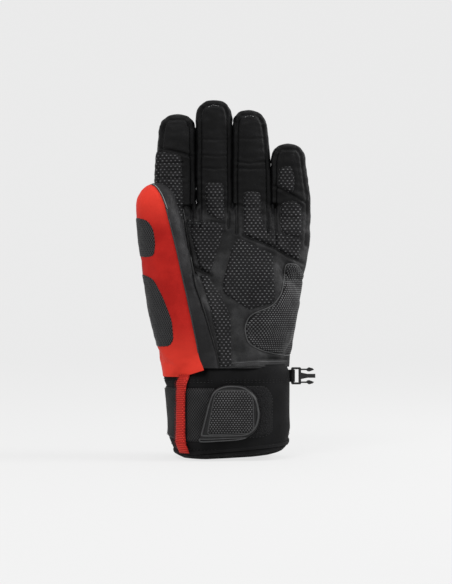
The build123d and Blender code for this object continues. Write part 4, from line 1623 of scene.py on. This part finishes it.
def make_cuff():
    outer = [(-0.3, 5), (0.0, 8), (0.0, 12), *[(0.0, z) for z in range(16, 64, 4)], (-0.2, 66), (-0.9, 69),
             (-2.2, 71.5), (-3.4, 74)]
    inner = [(-4.4, 74), (-3.0, 60), (-3.0, 30), (-3.0, 6)]
    sleeve = wrap(tube_round(outer + inner))
    finish_piece("cuff", sleeve, CUFF_CLOTH, "webbing", "hand", "cuff_sleeve", fill=0.4)
    facing = [(-0.5, 0.6), (-0.3, 2), (-0.3, 7), (-0.6, 9.2), (-2.6, 9.2), (-3.3, 8), (-3.6, 5), (-3.4, 2),
              (-2.6, 0.4),
              (-1.6, 0.0), (-0.9, 0.1)]
    finish_piece("hem", wrap(tube_round(facing)), HEM_TAPE, "webbing", "hand", "hem_binding", fill=0.5)
    tape = [(0.2, 0.5), (0.5, 0.9), (0.55, 1.8), (0.4, 2.9), (0.1, 3.3), (-0.8, 3.0), (-1.2, 1.9),
            (-0.8, 0.8), (-0.1, 0.3)]
    finish_piece("hem_tape", wrap(tube_round(tape), tape=True), HEM_TAPE, "webbing", "hand")
    rows = bmesh.new()
    for z, out in ((7.2, 0.15), (60.5, 0.12), (62.2, 0.12)):
        stitch_round(rows, [(s, z) for s in np.arange(-60, CUFF_ROUND - 60, 4.0)], out, 2.8, 1.8, 0.2,
                     closed=True)
    finish_piece("cuff_stitching", wrap(rows), THREAD, "webbing", "hand")
    rows = [(-3.3, 4), (-3.5, 12), (-3.7, 40), (-4.6, 58), (-8.6, 70), (-12, 92), (-15, 120), (-17, 145),
            (-22, 156), (-26, 160)]
    lining = tube_round(rows, closed=False)
    lining = wrap(lining)
    top = [e for e in lining.edges if e.is_boundary and min(v.co.z for v in e.verts) > 0.15]
    bmesh.ops.contextual_create(lining, geom=top)
    bmesh.ops.reverse_faces(lining, faces=lining.faces)
    finish_piece("lining", lining, FLEECE, "fleece", "hand", "hand_liner", fill=0.4)


def make_strap():
    z0, z1 = 13.6, 56
    side = panel([(-94.4, z0), (FOLD - 0.6, z0), (FOLD - 0.6, z1), (-94.4, z1)], 0.3, 2.1, 0.7)
    finish_piece("strap_side", wrap(side), STRAP, "webbing", "hand", "strap_anchor")
    front = panel([(FOLD - 0.7, z0), (-9, z0), (-9, z1), (FOLD - 0.7, z1)], 0.3, 2.1, 0.7)
    a, b = cuff_spot(FOLD - 0.5, 1.2), cuff_spot(FOLD + 4.0, 1.2)
    painted_highlight = [Vector((p.x, p.y, 34.5)) * MM for p in (a, b)]
    finish_piece("strap_front", wrap(front), STRAP, "webbing", "strap_tab", "strap_band",
                 blend=("hand", "strap_tab", *painted_highlight))
    loops = flat_outline([(-6.5, 16), (30, 15.4), (35.2, 19), (35.4, 50), (30.6, 57.6), (-6.5, 57.4)], 1.0,
                         4.0)
    finish_piece("loop_patch_tape", wrap(panel(loops, 0.1, 1.1, 0.7)), LOOP_TAPE, "hook_and_loop", "hand",
                 "loop_patch")
    hooks = flat_outline([(-7.5, 18), (19, 18), (20, 40), (16, 53), (-7.5, 53)], 2.0, 2.0)
    finish_piece("hook_patch_tape", wrap(panel(hooks, 1.3, 2.1, 0.5)), LOOP_TAPE, "hook_and_loop",
                 "strap_tab", "hook_patch")

    tab = flat_outline(TAB, 4.0, 5.0)
    rim = flat_outline(TAB_RIM, 4.4, 5.0)
    finish_piece("tab", wrap(panel(tab, 2.2, 4.3, 1.6, 3.0, 0.5)), TAB_RUBBER, "rubber", "strap_tab",
                 "tab_pad", fill=0.8)
    grip = flat_outline(TAB_GRIP, 4.4, 3.0)
    finish_piece("tab_grip", wrap(panel(grip, 4.4, 5.5, 1.2, 3.0, 0.3)), TAB_DOTS, "grip", "strap_tab",
                 "tab_grip_patch")
    piping = bmesh.new()
    cord_round(piping, even_line(rim, 1.5), 4.4, 0.6)
    cord_round(piping, even_line([(s, z) for s, z in shrunk(tab, 0.8) if z < 16.2], 1.5, closed=False), 3.9,
               0.45, closed=False)
    finish_piece("tab_piping", wrap(piping), RIM_PIPING, "rubber", "strap_tab")
    inner = bmesh.new()
    cord_round(inner, even_line(shrunk(grip, -1.2), 1.5), 4.6, 0.42)
    finish_piece("tab_inner_piping", wrap(inner), RIM_PIPING, "rubber", "strap_tab")

    left = [(-37.8, 66.2), (-38.4, 55), (-40.0, 36), (-40.4, 20), (-40.2, 9), (-38.7, 4)]
    right = [(-29.1, 4.2), (-31.4, 11), (-32.3, 20), (-32.3, 40), (-31.7, 52), (-29.8, 62), (-29.4, 66.2)]
    webbing = [(round_from_x(x, 3.0), z) for x, z in left + right]
    finish_piece("pull_tape", wrap(panel(webbing, 2.2, 3.6, 0.5)), RED_WEBBING, "red_webbing", "hand",
                 "pull_webbing")
    seams = bmesh.new()
    edge = shrunk(webbing, 0.9)
    stitch_round(seams, edge, 3.62, 1.9, 1.25, 0.2, closed=True)
    for z in (12.5, 58.5):
        row = [s for s, h in edge if abs(h - z) < 9]
        stitch_round(seams, [(min(row) + 0.6, z), (max(row) - 0.6, z)], 3.62, 1.5, 1.0, 0.2)
    finish_piece("pull_tape_stitching", wrap(seams), RED_THREAD, "red_webbing", "hand")
    rows = bmesh.new()
    for z in (15.0, 54.4):
        stitch_round(rows, [(-92.5, z), (FOLD - 1, z)], 2.15, 2.6, 1.6, 0.2)
    finish_piece("strap_side_stitching", wrap(rows), THREAD, "webbing", "hand")
    rows = bmesh.new()
    loops_in = shrunk(loops, 1.2)
    stitch_round(rows, loops_in, 1.15, 2.4, 1.5, 0.2, closed=True)
    finish_piece("loop_patch_stitching", wrap(rows), THREAD, "hook_and_loop", "hand")


def make_clip():
    """The clip keeps its moulded shape; its webbing is a tight fold round the bar."""
    bm = bmesh.new()
    bend = [math.radians(a) for a in range(-156, 157, 12)]
    line = [(48.2, -0.9), (49.6, -0.75), *[(52.3 + 1.95 * math.cos(a), 1.95 * math.sin(a)) for a in bend],
            (49.6, 0.75), (48.2, 0.9)]
    verts = [bm.verts.new((x, y, 64.2 - 4.8)) for x, y in line]
    edges = [bm.edges.new(pair) for pair in zip(verts, verts[1:])]
    for _ in range(8):
        grown = bmesh.ops.extrude_edge_only(bm, edges=edges)["geom"]
        edges = [g for g in grown if isinstance(g, bmesh.types.BMEdge)]
        bmesh.ops.translate(bm, verts=[g for g in grown if isinstance(g, bmesh.types.BMVert)],
                            vec=(0, 0, 1.2))
    bmesh.ops.recalc_face_normals(bm, faces=bm.faces)
    bmesh.ops.solidify(bm, geom=bm.faces, thickness=0.85)
    bmesh.ops.recalc_face_normals(bm, faces=bm.faces)
    bmesh.ops.scale(bm, verts=bm.verts, vec=(MM, MM, MM))
    finish_piece("clip_loop", bm, BLACK_WEBBING, "webbing", frame["nodes"]["buckle_loop"]["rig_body"],
                 "buckle_loop")
    clip = frame["nodes"]["buckle_tongue"]
    clip.data.materials.clear()
    clip.data.materials.append(CLIP_PLASTIC)


# ---- all together -----------------------------------------------------------------------------------
PALE = 0.855


def set_stage():
    """A pale floor that sweeps up into a backdrop all round."""
    bm = bmesh.new()
    ring = bmesh.ops.create_circle(bm, cap_ends=True, segments=96, radius=2.2)["verts"]
    edges = list({e for v in ring for e in v.link_edges})
    for k in range(1, 13):
        turn = math.radians(7.5 * k)
        grown = bmesh.ops.extrude_edge_only(bm, edges=edges)["geom"]
        edges = [g for g in grown if isinstance(g, bmesh.types.BMEdge)]
        reach, rise = 2.2 + 1.2 * math.sin(turn), 1.2 * (1 - math.cos(turn))
        for v in [g for g in grown if isinstance(g, bmesh.types.BMVert)]:
            flat = Vector((v.co.x, v.co.y)).normalized() * reach
            v.co = Vector((flat.x, flat.y, rise))
    grown = bmesh.ops.extrude_edge_only(bm, edges=edges)["geom"]
    for v in [g for g in grown if isinstance(g, bmesh.types.BMVert)]:
        v.co.z += 1.5
    bmesh.ops.recalc_face_normals(bm, faces=bm.faces)
    paint = Paint("floor", (0.12, 0.12, 0.12), 1.0, Specular_IOR_Level=0.0, Emission_Strength=1.0)
    glow = PALE - 0.135
    paint.set("Emission Color", (glow, glow, glow, 1))
    new_object("floor", bm, [paint.material])
    world = bpy.data.worlds.new("studio")
    bpy.context.scene.world = world
    world.use_nodes = True
    world.node_tree.nodes["Background"].inputs[0].default_value = (PALE, PALE, PALE, 1)
    bpy.context.scene.view_settings.view_transform = "Standard"
    soft_light("key", (-0.35, -1.0, 1.3), (0, 0, 0.14), 0.5, 8.5)
    soft_light("rim", (0.95, -0.1, 0.7), (0, 0, 0.14), 0.5, 9)


set_camera()
dress_hand()
make_cuff()
make_strap()
make_clip()
set_stage()
